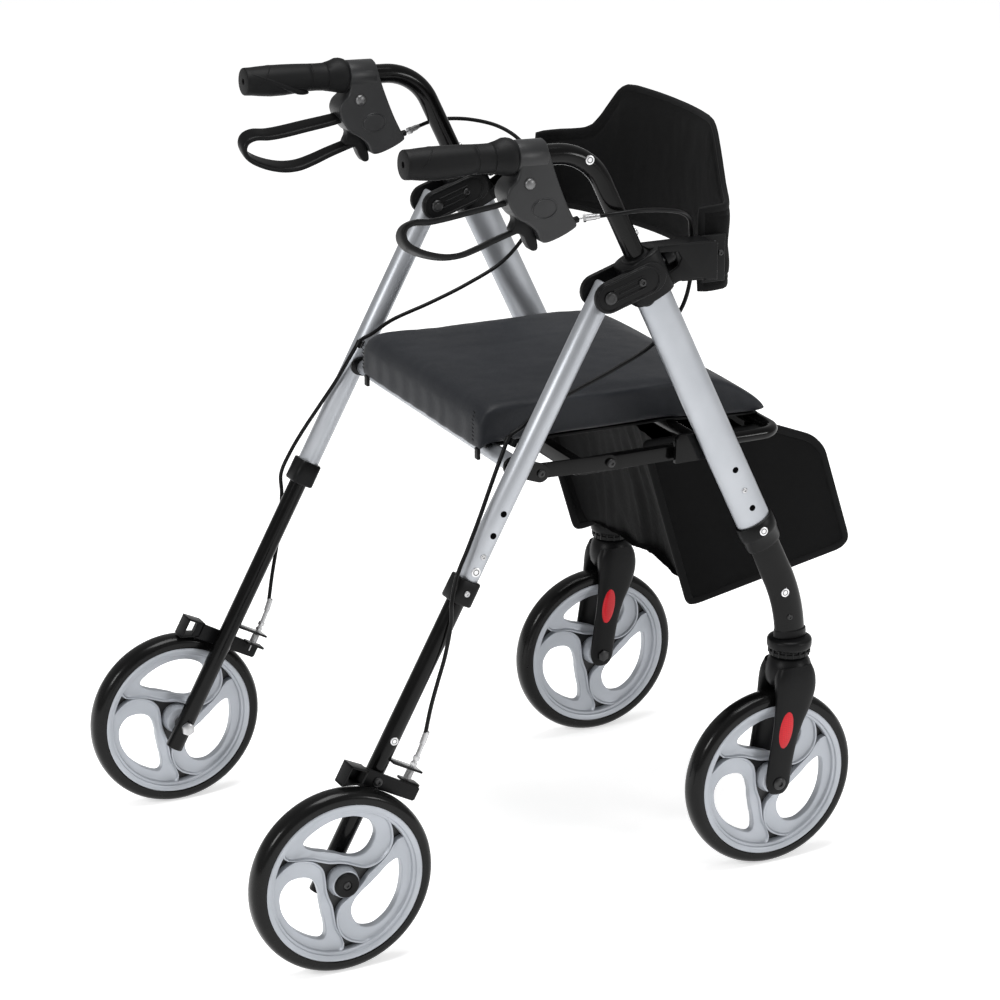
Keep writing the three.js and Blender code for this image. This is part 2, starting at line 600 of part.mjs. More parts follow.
// The bag: two stiff side panels with a soft strip between them, open at the top, under a bar on the front legs.
function makeBag() {
  const { y, z } = seatHinge;
  const barX = 194.2;
  const corner = 22;
  const start = new THREE.Vector3(barX, 150, z);
  const cornerR = new THREE.Vector3(barX, y, z);
  const cornerL = new THREE.Vector3(-barX, y, z);
  const end = new THREE.Vector3(-barX, 150, z);
  const path = [
    start,
    ...roundCorner(start, cornerR, cornerL, corner, 5),
    ...roundCorner(cornerR, cornerL, end, corner, 5),
    end,
  ];
  add("bag_bar", "glossBlack", sweep(ovalSection(7, 7, 14), path));

  const side = outline([
    [92, 502], [154, 301], [165, 300], [355, 336], [365, 346], [328, 462], [312, 478], [262, 498], [243, 502],
  ]);
  const hollow = outline([
    [97, 510], [157, 305.5], [165, 304.5], [353, 340], [360.5, 347.5], [324, 460], [309, 474], [262, 493],
    [243, 497], [238, 510],
  ]);
  const shell = sidePlate(side, -142, 142);
  const inside = sidePlate(hollow, -137, 137);
  add("bag", "fabric", geometryOf(cut(solid(shell), inside)));
}

makeWheels();
makeFork();
makeFrontLegs();
makeRearLegs();
makeWheelBrakes();
makeTopBrackets();
makeBackrest();
makeHandles();
makeCables();
makeFold();
makeSeat();
makeBag();

export default root;
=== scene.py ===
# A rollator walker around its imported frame. Shapes are worked out in millimetres, with y = 0 at the
# top bolt of the rear legs, and every finished piece is put into the frame's metres by place().
import math

import bmesh
import bpy
from mathutils import Matrix, Vector, geometry, noise


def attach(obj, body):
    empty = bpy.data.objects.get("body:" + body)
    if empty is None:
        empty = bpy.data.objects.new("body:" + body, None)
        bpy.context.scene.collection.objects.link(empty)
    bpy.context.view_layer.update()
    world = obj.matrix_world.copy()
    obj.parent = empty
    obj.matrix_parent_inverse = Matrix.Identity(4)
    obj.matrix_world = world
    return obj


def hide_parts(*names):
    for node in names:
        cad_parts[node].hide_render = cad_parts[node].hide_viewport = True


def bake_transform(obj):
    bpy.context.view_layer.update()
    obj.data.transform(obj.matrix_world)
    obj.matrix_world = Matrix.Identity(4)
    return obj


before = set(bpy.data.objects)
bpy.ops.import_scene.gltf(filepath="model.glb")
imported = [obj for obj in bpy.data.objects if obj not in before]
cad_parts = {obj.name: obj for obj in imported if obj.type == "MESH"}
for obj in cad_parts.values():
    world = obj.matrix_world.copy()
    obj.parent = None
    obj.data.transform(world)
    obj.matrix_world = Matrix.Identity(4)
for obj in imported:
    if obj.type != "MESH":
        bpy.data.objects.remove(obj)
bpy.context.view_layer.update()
scene = bpy.context.scene

centreY = 33.79  # mm from the top bolts to the middle of the walker's length
sideX = 215  # mm from the middle to each side frame
toMetres = Matrix.Translation((0, centreY / 1000, 0)) @ Matrix.Scale(0.001, 4)

frontLean = math.radians(25.42)
rearLean = math.radians(28.55)
frontTop = Vector((sideX, 45.5, 730))
foldPivot = Vector((sideX, 0, 706))
casterY = 244

studio = {
    "cameraAt": (3281, -1627, 1710),
    "looking": (-0.8462, 0.4144, -0.3350),
    "roll": -0.1,
    "lens": 122.5,
    "shift": (0.004, -0.002),
    "worldStrength": 0.42,
    "floorTone": 0.93,
    "floorGlow": 0.55,
}


def makeStudio():
    camera = bpy.data.objects.new("camera", bpy.data.cameras.new("camera"))
    camera.data.lens = studio["lens"]
    camera.data.sensor_width = 36
    camera.data.shift_x, camera.data.shift_y = studio["shift"]
    camera.data.clip_end = 50
    camera.location = toMetres @ Vector(studio["cameraAt"])
    turn = Vector(studio["looking"]).to_track_quat("-Z", "Y")
    roll = Matrix.Rotation(math.radians(studio["roll"]), 4, "Z")
    camera.rotation_euler = (turn.to_matrix().to_4x4() @ roll).to_euler()
    scene.collection.objects.link(camera)
    scene.camera = camera

    floorMesh = bpy.data.meshes.new("floor")
    bm = bmesh.new()
    bmesh.ops.create_grid(bm, x_segments=1, y_segments=1, size=30)
    bm.to_mesh(floorMesh)
    bm.free()
    floor = bpy.data.objects.new("floor", floorMesh)
    scene.collection.objects.link(floor)
    floorMesh.materials.append(floorFinish())

    world = bpy.data.worlds.new("studio")
    world.use_nodes = True
    background = world.node_tree.nodes["Background"]
    background.inputs["Color"].default_value = (1, 1, 1, 1)
    background.inputs["Strength"].default_value = studio["worldStrength"]
    scene.world = world
    scene.view_settings.view_transform = "Standard"

    lights = (
        # name, at (m), size (m), power (W)
        ("overhead", (0.2, 0.1, 3.0), 1.5, 62),
        ("left", (1.0, -3.2, 2.2), 0.9, 42),
        ("right", (3.0, 2.4, 1.6), 0.8, 30),
    )
    for name, at, size, power in lights:
        light = bpy.data.lights.new(name, "AREA")
        light.size = size
        light.energy = power
        lamp = bpy.data.objects.new(name, light)
        lamp.location = at
        lamp.rotation_euler = (Vector((0, 0, 0.4)) - Vector(at)).to_track_quat("-Z", "Y").to_euler()
        scene.collection.objects.link(lamp)


class Signal:
    # A node's output, with arithmetic that adds Math nodes.
    def __init__(self, finish, socket):
        self.finish = finish
        self.socket = socket

    def __add__(self, other):
        return self.finish.math("ADD", self, other)

    def __sub__(self, other):
        return self.finish.math("SUBTRACT", self, other)

    def __rsub__(self, other):
        return self.finish.math("SUBTRACT", other, self)

    def __mul__(self, other):
        return self.finish.math("MULTIPLY", self, other)

    __radd__ = __add__
    __rmul__ = __mul__


class Finish:
    # A material under construction: its nodes, and the Principled shader they feed.
    def __init__(self, name, **fixed):
        self.material = bpy.data.materials.new(name)
        self.material.use_nodes = True
        self.tree = self.material.node_tree
        self.shader = self.tree.nodes["Principled BSDF"]
        for socket, value in fixed.items():
            self.shader.inputs[socket.replace("_", " ")].default_value = value

    def node(self, kind, settings=None, *inputs, out=0, **named):
        made = self.tree.nodes.new(kind)
        for key, value in (settings or {}).items():
            if key == "stops":
                ramp = made.color_ramp.elements
                while len(ramp) < len(value):
                    ramp.new(0.5)
                for stop, (place, tone) in zip(ramp, value):
                    stop.position = place
                    stop.color = tone if len(tone) == 4 else (*tone, 1)
            else:
                setattr(made, key, value)
        for key, value in [*enumerate(inputs), *named.items()]:
            socket = made.inputs[key if isinstance(key, int) else key.replace("_", " ")]
            if isinstance(value, Signal):
                self.tree.links.new(value.socket, socket)
            elif value is not None:
                socket.default_value = value
        return Signal(self, made.outputs[out])

    def math(self, operation, *values):
        return self.node("ShaderNodeMath", {"operation": operation}, *values)

    def feed(self, socket, signal):
        self.tree.links.new(signal.socket, self.shader.inputs[socket])
        return self

    def place(self):
        return self.node("ShaderNodeTexCoord", None, out="Object")

    def noise(self, scale, detail=3, roughness=0.5):
        return self.node(
            "ShaderNodeTexNoise", None, Vector=self.place(), Scale=scale, Detail=detail, Roughness=roughness
        )

    def ramp(self, signal, stops):
        return self.node("ShaderNodeValToRGB", {"stops": stops}, signal)

    def bump(self, height, strength, distance=0.001):
        normal = self.node("ShaderNodeBump", None, Strength=strength, Distance=distance, Height=height)
        return self.feed("Normal", normal)


def tone(value, tint=(1, 1, 1)):
    return tuple(value * part for part in tint)


def floorFinish():
    floor = Finish(
        "studio_floor", Base_Color=(*tone(studio["floorTone"]), 1), Roughness=0.7, Specular_IOR_Level=0.2,
        Emission_Color=(1, 1, 1, 1), Emission_Strength=studio["floorGlow"],
    )
    return floor.material


def silverFinish():
    # Satin anodised aluminium: a fine streaked grain and faint handling marks.
    silver = Finish("satin_silver", Metallic=0.8, IOR=1.5)
    grain = silver.noise(900, 2, 0.6)
    clouds = silver.noise(18, 3)
    silver.feed("Base Color", silver.ramp(clouds, [(0.3, (0.36, 0.375, 0.40)), (0.7, (0.42, 0.435, 0.46))]))
    silver.feed("Roughness", 0.33 + clouds * 0.08 + grain * 0.08)
    return silver.bump(grain, 0.12, 0.0002).material


def rimFinish():
    rim = Finish("silver_moulding", Metallic=0.35, Coat_Roughness=0.25)
    flake = rim.noise(1500, 1)
    clouds = rim.noise(14, 2)
    rim.feed("Base Color", rim.ramp(clouds, [(0.3, (0.34, 0.36, 0.39)), (0.7, (0.40, 0.42, 0.455))]))
    rim.feed("Roughness", 0.36 + flake * 0.1)
    return rim.bump(flake, 0.06, 0.0002).material


def glossBlackFinish():
    gloss = Finish("gloss_black_paint", Specular_IOR_Level=0.1, Coat_Weight=0.14, Coat_Roughness=0.05)
    peel = gloss.noise(260, 2)
    dust = gloss.noise(40, 4, 0.7)
    gloss.feed("Base Color", gloss.ramp(dust, [(0.4, tone(0.0012)), (0.8, tone(0.003))]))
    gloss.feed("Roughness", 0.16 + dust * 0.1)
    return gloss.bump(peel, 0.05, 0.0003).material


def mouldedFinish(name, level, roughness, grainScale=1800, grain=0.25, shine=0.13):
    # Black moulded plastic with a fine spark-eroded grain.
    plastic = Finish(name, Specular_IOR_Level=shine)
    stipple = plastic.noise(grainScale, 2, 0.6)
    clouds = plastic.noise(30, 3)
    dark = tone(level, (1, 1.02, 1.08))
    light = tone(level * 1.35, (1, 1.02, 1.08))
    plastic.feed("Base Color", plastic.ramp(clouds, [(0.35, dark), (0.75, light)]))
    plastic.feed("Roughness", roughness + clouds * 0.08 + stipple * 0.06)
    return plastic.bump(stipple, grain, 0.0002).material


def tyreFinish():
    tyre = Finish("tyre_rubber", Specular_IOR_Level=0.1, Coat_Weight=0.16, Coat_Roughness=0.1)
    clouds = tyre.noise(22, 4, 0.6)
    fine = tyre.noise(700, 2)
    tyre.feed("Base Color", tyre.ramp(clouds, [(0.3, tone(0.002)), (0.8, tone(0.005))]))
    tyre.feed("Roughness", 0.2 + clouds * 0.14)
    return tyre.bump(fine, 0.06, 0.0002).material


def steelFinish(name, level, roughness):
    steel = Finish(name, Metallic=1.0)
    marks = steel.noise(160, 4, 0.65)
    stops = [(0.3, tone(level * 0.85)), (0.7, tone(level, (1, 1, 1.02)))]
    steel.feed("Base Color", steel.ramp(marks, stops))
    steel.feed("Roughness", roughness + marks * 0.15)
    return steel.bump(marks, 0.1, 0.0002).material


def leatheretteFinish():
    # Charcoal leatherette: pebbled cells, with broad shifts in tone where the foam pulls it.
    leather = Finish("charcoal_leatherette", Specular_IOR_Level=0.2, Sheen_Weight=0.01, Sheen_Roughness=0.4)
    warp = leather.noise(60, 2)
    cells = leather.node(
        "ShaderNodeTexVoronoi", {"feature": "DISTANCE_TO_EDGE"}, Vector=leather.place(), Scale=620.0
    )
    pebble = leather.ramp(cells, [(0.0, tone(0)), (0.22, tone(1))])
    crease = leather.noise(210, 5, 0.65)
    clouds = leather.noise(7, 3)
    stops = [(0.3, (0.0085, 0.0095, 0.012)), (0.7, (0.014, 0.0155, 0.019))]
    leather.feed("Base Color", leather.ramp(clouds * 0.7 + crease * 0.3, stops))
    leather.feed("Roughness", 0.5 - pebble * 0.1 + warp * 0.08)
    return leather.bump(pebble * 0.6 + crease * 0.8, 0.35, 0.0004).material


def fabricFinish(name, level, pitch, roughness=0.8, sheen=0.012):
    # A plain weave from two crossed thread patterns, on the cloth's own map in metres.
    cloth = Finish(name, Specular_IOR_Level=0.08, Sheen_Weight=sheen, Sheen_Roughness=0.45)
    flat = cloth.node("ShaderNodeUVMap")
    turns = math.pi / pitch
    warp = cloth.math("SINE", cloth.node("ShaderNodeSeparateXYZ", None, flat, out=0) * turns)
    weft = cloth.math("SINE", cloth.node("ShaderNodeSeparateXYZ", None, flat, out=1) * turns)
    weave = cloth.math("ABSOLUTE", warp * weft)
    slub = cloth.noise(240, 3, 0.6)
    clouds = cloth.noise(11, 3)
    dark = tone(level * 0.75, (1, 1.01, 1.05))
    light = tone(level * 1.3, (1, 1.01, 1.05))
    shade = clouds * 0.5 + slub * 0.3 + weave * 0.2
    cloth.feed("Base Color", cloth.ramp(shade, [(0.3, dark), (0.75, light)]))
    cloth.feed("Roughness", roughness - weave * 0.08)
    return cloth.bump(weave + slub * 0.6, 0.5, 0.0003).material


def lensFinish():
    lens = Finish("red_reflector", Specular_IOR_Level=0.2, Coat_Weight=0.25, Coat_Roughness=0.05)
    cells = lens.node(
        "ShaderNodeTexVoronoi", {"feature": "F1"}, Vector=lens.place(), Scale=420.0, Randomness=0.15
    )
    lens.feed("Base Color", lens.ramp(cells, [(0.0, (0.62, 0.003, 0.012)), (0.6, (0.42, 0.001, 0.008))]))
    lens.feed("Roughness", 0.28 + cells * 0.1)
    return lens.bump(cells, 0.25, 0.0004).material


finishes = {}


def makeFinishes():
    finishes.update(
        silver=silverFinish(),
        rim=rimFinish(),
        glossBlack=glossBlackFinish(),
        plastic=mouldedFinish("satin_black_plastic", 0.0035, 0.3),
        # painted sheen: the black housing's base is lightened to the grey that strong reflected light gives
        # it
        housing=mouldedFinish("black_housing_painted_sheen", 0.012, 0.32, 1500, 0.3, 0.34),
        grip=mouldedFinish("soft_grip", 0.004, 0.46, 1200, 0.5),
        tyre=tyreFinish(),
        steel=steelFinish("zinc_steel", 0.5, 0.28),
        darkSteel=steelFinish("black_oxide_steel", 0.05, 0.32),
        dullSteel=steelFinish("dull_steel", 0.16, 0.34),
        leatherette=leatheretteFinish(),
        fabric=fabricFinish("black_fabric", 0.0035, 0.0009),
        binding=fabricFinish("binding_tape", 0.006, 0.0006, 0.7, 0.03),
        lens=lensFinish(),
        # painted shade: near-black for the shade inside the tubes' holes
        void=mouldedFinish("hole_shadow", 0.001, 0.7, 900, 0.1, 0.02),
        badge=steelFinish("badge_metal", 0.75, 0.3),
        cable=mouldedFinish("cable_jacket", 0.003, 0.28, 900, 0.1),
    )


def polyline(bm, points, closed):
    verts = [bm.verts.new(point) for point in points]
    pairs = list(zip(verts, verts[1:])) + ([(verts[-1], verts[0])] if closed else [])
    return verts, [bm.edges.new(pair) for pair in pairs]


def newVerts(result):
    return [piece for piece in result["geom"] if isinstance(piece, bmesh.types.BMVert)]


def newEdges(result):
    # the far edges only, whose ends are both new
    fresh = set(newVerts(result))
    return [p for p in result["geom"] if isinstance(p, bmesh.types.BMEdge) and fresh.issuperset(p.verts)]


def moved(bm, matrix):
    bmesh.ops.transform(bm, matrix=matrix, verts=bm.verts)
    return bm


def mirrored(bm):
    bmesh.ops.scale(bm, vec=(-1, 1, 1), verts=bm.verts)
    bmesh.ops.reverse_faces(bm, faces=bm.faces)
    return bm


def joined(first, *others):
    for other in others:
        carrier = bpy.data.meshes.new("carrier")
        other.to_mesh(carrier)
        other.free()
        first.from_mesh(carrier)
        bpy.data.meshes.remove(carrier)
    return first


def bevelled(bm, width, segments=3, only=None):
    bm.normal_update()
    edges = [e for e in bm.edges if len(e.link_faces) == 2 and e.calc_face_angle() > math.radians(30)]
    if only:
        edges = [e for e in edges if only(e)]
    bmesh.ops.bevel(
        bm, geom=edges, offset=width, segments=segments, profile=0.5, affect="EDGES", material=-1,
        clamp_overlap=True,
    )
    return bm


def turned(profile, at=(0, 0, 0), axis=(1, 0, 0), sides=48, closed=False):
    # A round piece from (radius, distance along the axis) pairs.
    bm = bmesh.new()
    verts, edges = polyline(bm, [(x, 0, radius) for radius, x in profile], closed)
    bmesh.ops.spin(
        bm, geom=verts + edges, cent=(0, 0, 0), axis=(1, 0, 0), angle=math.tau, steps=sides, use_merge=True
    )
    bmesh.ops.remove_doubles(bm, verts=bm.verts, dist=0.001)
    bmesh.ops.recalc_face_normals(bm, faces=bm.faces)
    turn = Vector((1, 0, 0)).rotation_difference(Vector(axis)).to_matrix().to_4x4()
    return moved(bm, Matrix.Translation(at) @ turn)


def smoothed(points, perSpan=6, closed=False):
    # A smooth curve through the points, as a list of points.
    points = [Vector(p) for p in points]
    count = len(points)
    spans = count if closed else count - 1
    result = []
    for i in range(spans):
        p1, p2 = points[i], points[(i + 1) % count]
        p0 = points[i - 1] if closed or i > 0 else p1 * 2 - p2
        p3 = points[(i + 2) % count] if closed or i + 2 < count else p2 * 2 - p1
        for step in range(perSpan):
            t = step / perSpan
            square = (2 * p0 - 5 * p1 + 4 * p2 - p3) * t**2
            cube = (3 * p1 - p0 - 3 * p2 + p3) * t**3
            result.append(0.5 * (2 * p1 + (p2 - p0) * t + square + cube))
    return result if closed else [*result, points[-1]]


def oval(halfA, halfB, sides=32, power=2.0):
    # Round at power 2; a higher power squares it up.
    points = []
    for i in range(sides):
        angle = math.tau * (i + 0.5) / sides
        pair = []
        for half, way in ((halfA, math.cos(angle)), (halfB, math.sin(angle))):
            pair.append(half * math.copysign(abs(way) ** (2 / power), way))
        points.append(tuple(pair))
    return points


def pathFrames(points, side, closed):
    count = len(points)
    frames = []
    for i, point in enumerate(points):
        ahead = points[(i + 1) % count] if closed or i + 1 < count else point * 2 - points[i - 1]
        behind = points[i - 1] if closed or i > 0 else point * 2 - points[i + 1]
        tangent = ((ahead - point).normalized() + (point - behind).normalized()).normalized()
        side = (side - tangent * side.dot(tangent)).normalized()
        other = tangent.cross(side)
        matrix = Matrix((side, other, tangent)).transposed().to_4x4()
        frames.append(Matrix.Translation(point) @ matrix)
    return frames


def swept(points, section, sizes=None, side=(1, 0, 0), closed=False):
    # A section carried along a path. sizes scales it at each point, as (across, other) pairs.
    points = [Vector(p) for p in points]
    frames = pathFrames(points, Vector(side), closed)
    if sizes:
        frames = [m @ Matrix.Diagonal((a, b, 1, 1)) for m, (a, b) in zip(frames, sizes)]
    bm = bmesh.new()
    first = polyline(bm, [frames[0] @ Vector((a, b, 0)) for a, b in section], True)[1]
    edges = first
    for before, after in zip(frames, frames[1:]):
        made = bmesh.ops.extrude_edge_only(bm, edges=edges)
        edges = newEdges(made)
        bmesh.ops.transform(bm, matrix=after @ before.inverted(), verts=newVerts(made))
    if closed:
        bmesh.ops.bridge_loops(bm, edges=first + edges)
    else:
        for end in (first, edges):
            bmesh.ops.edgeloop_fill(bm, edges=end)
    bmesh.ops.recalc_face_normals(bm, faces=bm.faces)
    return bm


def rod(start, end, radius, edge=0.6, sides=32):
    start, end = Vector(start), Vector(end)
    length = (end - start).length
    profile = [(0, 0), (radius - edge, 0), (radius, edge)]
    profile += [(radius, length - edge), (radius - edge, length), (0, length)]
    return turned(profile, start, (end - start).normalized(), sides)


def plate(outline, low, high, edge=0.8, segments=3):
    # An outline of (y, z) points made solid between two values of x, its rims rounded.
    bm = bmesh.new()
    polyline(bm, [(low, y, z) for y, z in outline], True)
    bmesh.ops.triangle_fill(bm, use_beauty=True, edges=bm.edges[:])
    bmesh.ops.dissolve_faces(bm, faces=bm.faces[:])
    made = bmesh.ops.extrude_face_region(bm, geom=bm.faces[:])
    bmesh.ops.translate(bm, vec=(high - low, 0, 0), verts=newVerts(made))
    bmesh.ops.recalc_face_normals(bm, faces=bm.faces)
    bm.normal_update()

    def isRim(e):
        facing = sorted(abs(f.normal.x) for f in e.link_faces)
        return facing[0] < 0.3 and facing[1] > 0.9

    return bevelled(bm, edge, segments, isRim)


def plateFrom(points, low, high, edge, segments=3):
    # A plate whose outline is a smooth curve through the points.
    smooth = smoothed([(0, y, z) for y, z in points], 4, closed=True)
    return plate([(p.y, p.z) for p in smooth], low, high, edge, segments)


def capsule(a, b, radius, steps=12):
    along = math.atan2(b[1] - a[1], b[0] - a[0])
    points = []
    for centre, start in ((b, -math.pi / 2), (a, math.pi / 2)):
        for i in range(steps + 1):
            angle = along + start + math.pi * i / steps
            points.append((centre[0] + radius * math.cos(angle), centre[1] + radius * math.sin(angle)))
    return points


def block(low, high, edge=1.0, segments=3):
    bm = bmesh.new()
    bmesh.ops.create_cube(bm, size=1)
    size = [b - a for a, b in zip(low, high)]
    middle = [(a + b) / 2 for a, b in zip(low, high)]
    moved(bm, Matrix.Translation(middle) @ Matrix.Diagonal((*size, 1)))
    return bevelled(bm, edge, segments)


def boltHead(at, axis, radius, height):
    # A domed head with a round socket in it.
    socket = radius * 0.42
    profile = [
        (0, height * 0.45), (socket, height * 0.45), (socket, height * 0.96), (radius * 0.6, height),
        (radius * 0.86, height * 0.82), (radius, height * 0.45), (radius, 0), (0, 0),
    ]
    return turned(profile, at, axis, 32)


def legFrame(lean, origin):
    down = Vector((0, math.sin(lean), -math.cos(lean)))
    across = Vector((0, -down.z, down.y))
    turn = Matrix((across, Vector((1, 0, 0)), down)).transposed().to_4x4()
    return Matrix.Translation(origin) @ turn


onFront = legFrame(frontLean, frontTop)
onRear = legFrame(-rearLean, foldPivot)
frontAhead = onFront.to_3x3() @ Vector((1, 0, 0))
frontUp = onFront.to_3x3() @ Vector((0, 0, -1))
rearDown = onRear.to_3x3() @ Vector((0, 0, 1))


def frontAt(across, x, down):
    return onFront @ Vector((across, x, down))


def rearAt(across, x, down):
    return onRear @ Vector((across, x, down))


def place(name, bm, finish, body, nodes=(), slot=None, crease=38):
    moved(bm, toMetres)
    mesh = bpy.data.meshes.new(name)
    bm.to_mesh(mesh)
    bm.free()
    mesh.materials.append(finishes[finish])
    mesh.shade_smooth()
    mesh.set_sharp_from_angle(angle=math.radians(crease))
    piece = bpy.data.objects.new(name, mesh)
    scene.collection.objects.link(piece)
    if body:
        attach(piece, body)
    if nodes:
        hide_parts(*nodes)
    return piece


def placePair(name, bm, finish, body, node=None, slot=None, crease=38):
    # The right-hand piece, and its mirror image on the left.
    pieces = []
    for side in "RL":
        copy = mirrored(bm.copy()) if side == "L" else bm.copy()
        nodes = [f"{node}_{side}"] if node else ()
        pieces.append(place(f"{name}_{side}", copy, finish, body.format(side), nodes, slot, crease))
    bm.free()
    return pieces


wheel = {
    "treadWidth": 28.0,
    "rimRadius": 90.5,
    "firstOpening": 87.0,  # degrees from forwards to the first opening's middle
    "beadHeight": 8.6,
    "panelHeight": 4.4,
    "beadSpread": 7.0,  # the furthest that a bead moves towards its neighbour
    "beadGap": 1.0,
    "webHalf": 1.2,
    "rearAt": (246, -327, 105),
    "frontAt": (215, 220, 105),
}
openingMiddle = 50.4  # mm from the hub, at 0 degrees
openingShape = [  # degrees from the opening's middle, radius
    (0, 29.2), (-13, 28.2), (-28, 29.6), (-40, 35.8), (-43, 44.8), (-41, 54.2), (-37, 62.7), (-30, 69),
    (-22, 72.6), (-10, 73.9), (3, 73.2), (15, 72), (28, 70.6), (40, 69.6), (44, 66), (43.5, 60), (39, 51),
    (31, 43.4), (22, 37.2), (11, 32.6),
]
beadShape = [  # the raised bead round each opening's panel
    (57, 83), (48, 83.2), (33, 83.2), (22, 83.2), (11, 83.2), (0, 83.2), (-10, 83.2), (-19, 83.2),
    (-28, 83), (-36, 81), (-43, 76), (-51, 68), (-58, 59), (-62, 49), (-63, 39.6), (-59, 31.6),
    (-43, 25.4), (-6, 23.2), (25, 31.2), (42, 44), (52, 57.1), (59, 68.2), (61, 77),
]


def aroundMiddle(shape, count):
    # The outline's points in evenly spaced directions from the opening's middle.
    corners = []
    for degrees, radius in shape:
        angle = math.radians(degrees)
        corners.append((radius * math.cos(angle) - openingMiddle, radius * math.sin(angle), 0))
    line = smoothed(corners, 8, closed=True)
    points = []
    for i in range(count):
        angle = math.tau * i / count
        way = Vector((math.cos(angle), math.sin(angle), 0))
        reach = 0
        for a, b in zip(line, line[1:] + line[:1]):
            cross = way.x * (b.y - a.y) - way.y * (b.x - a.x)
            if abs(cross) < 1e-9:
                continue
            t = (way.y * a.x - way.x * a.y) / cross
            if 0 <= t <= 1:
                reach = max(reach, (a + (b - a) * t).dot(way))
        points.append(way * reach + Vector((openingMiddle, 0, 0)))
    return points


def openingLoops(index):
    turn = Matrix.Rotation(math.radians(wheel["firstOpening"] + 120 * index), 3, "X")
    loops = []
    for shape in (openingShape, beadShape):
        loops.append([turn @ Vector((0, p.x, p.y)) for p in aroundMiddle(shape, 144)])
    return loops


def ringed(rings):
    # A closed skin through rings of matching points.
    bm = bmesh.new()
    edges = polyline(bm, rings[0], True)[1]
    for before, after in zip(rings, rings[1:] + rings[:1]):
        made = bmesh.ops.extrude_edge_only(bm, edges=edges)
        edges = newEdges(made)
        goals = {tuple(round(c, 3) for c in a): b for a, b in zip(before, after)}
        for vert in newVerts(made):
            vert.co = goals[tuple(round(c, 3) for c in vert.co)]
    bmesh.ops.remove_doubles(bm, verts=bm.verts, dist=0.0005)
    bmesh.ops.recalc_face_normals(bm, faces=bm.faces)
    return bm


def spread(border, others):
    # Moves a bead out to its neighbours: they meet along the spokes and part at the hub and the rim.
    count = len(border)
    pushes = []
    for point in border:
        gap = min((point - other).length for other in others) - wheel["beadGap"]
        nearRim = max(0, (80 - point.length) / 6)
        nearHub = (point.length - 17) / 17
        pushes.append(min(wheel["beadSpread"], max(0, gap / 2)) * min(1, nearRim, nearHub))
    line = []
    for i, point in enumerate(border):
        along = border[(i + 1) % count] - border[i - 1]
        out = Vector((0, along.z, -along.y)).normalized()
        around = [pushes[(i + j) % count] for j in range(-8, 9)]
        line.append(point + out * sum(around) / len(around))
    return line


def bothSides(profile):
    # A wheel's profile, from (radius, x) pairs for one side only.
    return profile + [(radius, -x) for radius, x in reversed(profile)]


def makeRim():
    bead, panel, outer = wheel["beadHeight"], wheel["panelHeight"], wheel["rimRadius"]
    flange = [
        (outer - 1.2, 12), (outer, 13.4), (outer - 1.2, 14.2), (outer - 3, 14), (84.6, 12.6), (83.8, 10.4),
        (81.4, 9.8), (80.6, 8.6),
    ]
    hub = [(17.6, 6.5), (16.4, 9), (15.4, 15.4), (14.2, 16.2), (5.3, 16.2)]
    parts = [turned(bothSides(flange), sides=112, closed=True), turned(bothSides(hub), sides=56, closed=True)]
    loops = [openingLoops(index) for index in range(3)]
    outlines = []
    for index, (inner, border) in enumerate(loops):
        border = spread(border, loops[index - 1][1] + loops[index - 2][1])
        outlines.append([(p.y, p.z) for p in border])
        # A bead, and from it a lower panel with a clean edge at the opening.
        rings = []
        for fromBead, fromOpening, height in (
            (0, None, -0.5), (0, None, bead - 0.7), (0.5, None, bead), (1.9, None, bead),
            (2.5, None, bead - 0.6), (3.2, None, panel + 1.7), (4.4, None, panel + 1.0),
            (None, 2.2, panel + 0.5), (None, 0.9, panel + 0.5), (None, 0.2, panel),
            (None, 0, panel - 0.7),
        ):
            ring = []
            for a, b in zip(inner, border):
                span = (b - a).length
                t = max(0.08, 1 - fromBead / span) if fromOpening is None else min(1, fromOpening / span)
                ring.append(a.lerp(b, t) + Vector((height, 0, 0)))
            rings.append(ring)
        for ring in reversed(rings[:]):
            rings.append([Vector((-p.x, p.y, p.z)) for p in ring])
        parts.append(ringed(rings))
    return joined(*parts), makeWeb(82, outlines)


def inside(point, outline):
    y, z = point
    hit = False
    for (y0, z0), (y1, z1) in zip(outline, outline[1:] + outline[:1]):
        if (z0 > z) != (z1 > z) and y < (y1 - y0) * (z - z0) / (z1 - z0) + y0:
            hit = not hit
    return hit


def makeWeb(radius, outlines):
    # The floor of the small pockets between the panels' beads, dark against the silver rim as painted shade.
    half = wheel["webHalf"]
    turns = [math.tau * i / 96 for i in range(96)]
    circle = [Vector((radius * math.cos(a), radius * math.sin(a))) for a in turns]
    loops = []
    for outline in outlines:
        corners = [Vector(p) for p in outline]
        middle = sum(corners, Vector((0, 0))) / len(corners)
        loops.append([middle.lerp(corner, 0.98) for corner in corners[::2]])
    spots, edges = [], []
    for loop in (circle, *loops):
        first = len(spots)
        spots += loop
        edges += [(first + i, first + (i + 1) % len(loop)) for i in range(len(loop))]
    spots, _, faces, *_ = geometry.delaunay_2d_cdt(spots, edges, [], 0, 0.001)
    bm = bmesh.new()
    verts = [bm.verts.new((-half, spot.x, spot.y)) for spot in spots]
    for face in faces:
        centre = sum((spots[i] for i in face), Vector((0, 0))) / len(face)
        if centre.length < radius - 0.1 and not any(inside(centre, loop) for loop in loops):
            bm.faces.new([verts[i] for i in face])
    bmesh.ops.delete(bm, geom=[v for v in bm.verts if not v.link_faces], context="VERTS")
    made = bmesh.ops.extrude_face_region(bm, geom=bm.faces[:])
    bmesh.ops.translate(bm, vec=(2 * half, 0, 0), verts=newVerts(made))
    bmesh.ops.recalc_face_normals(bm, faces=bm.faces)
    return bm


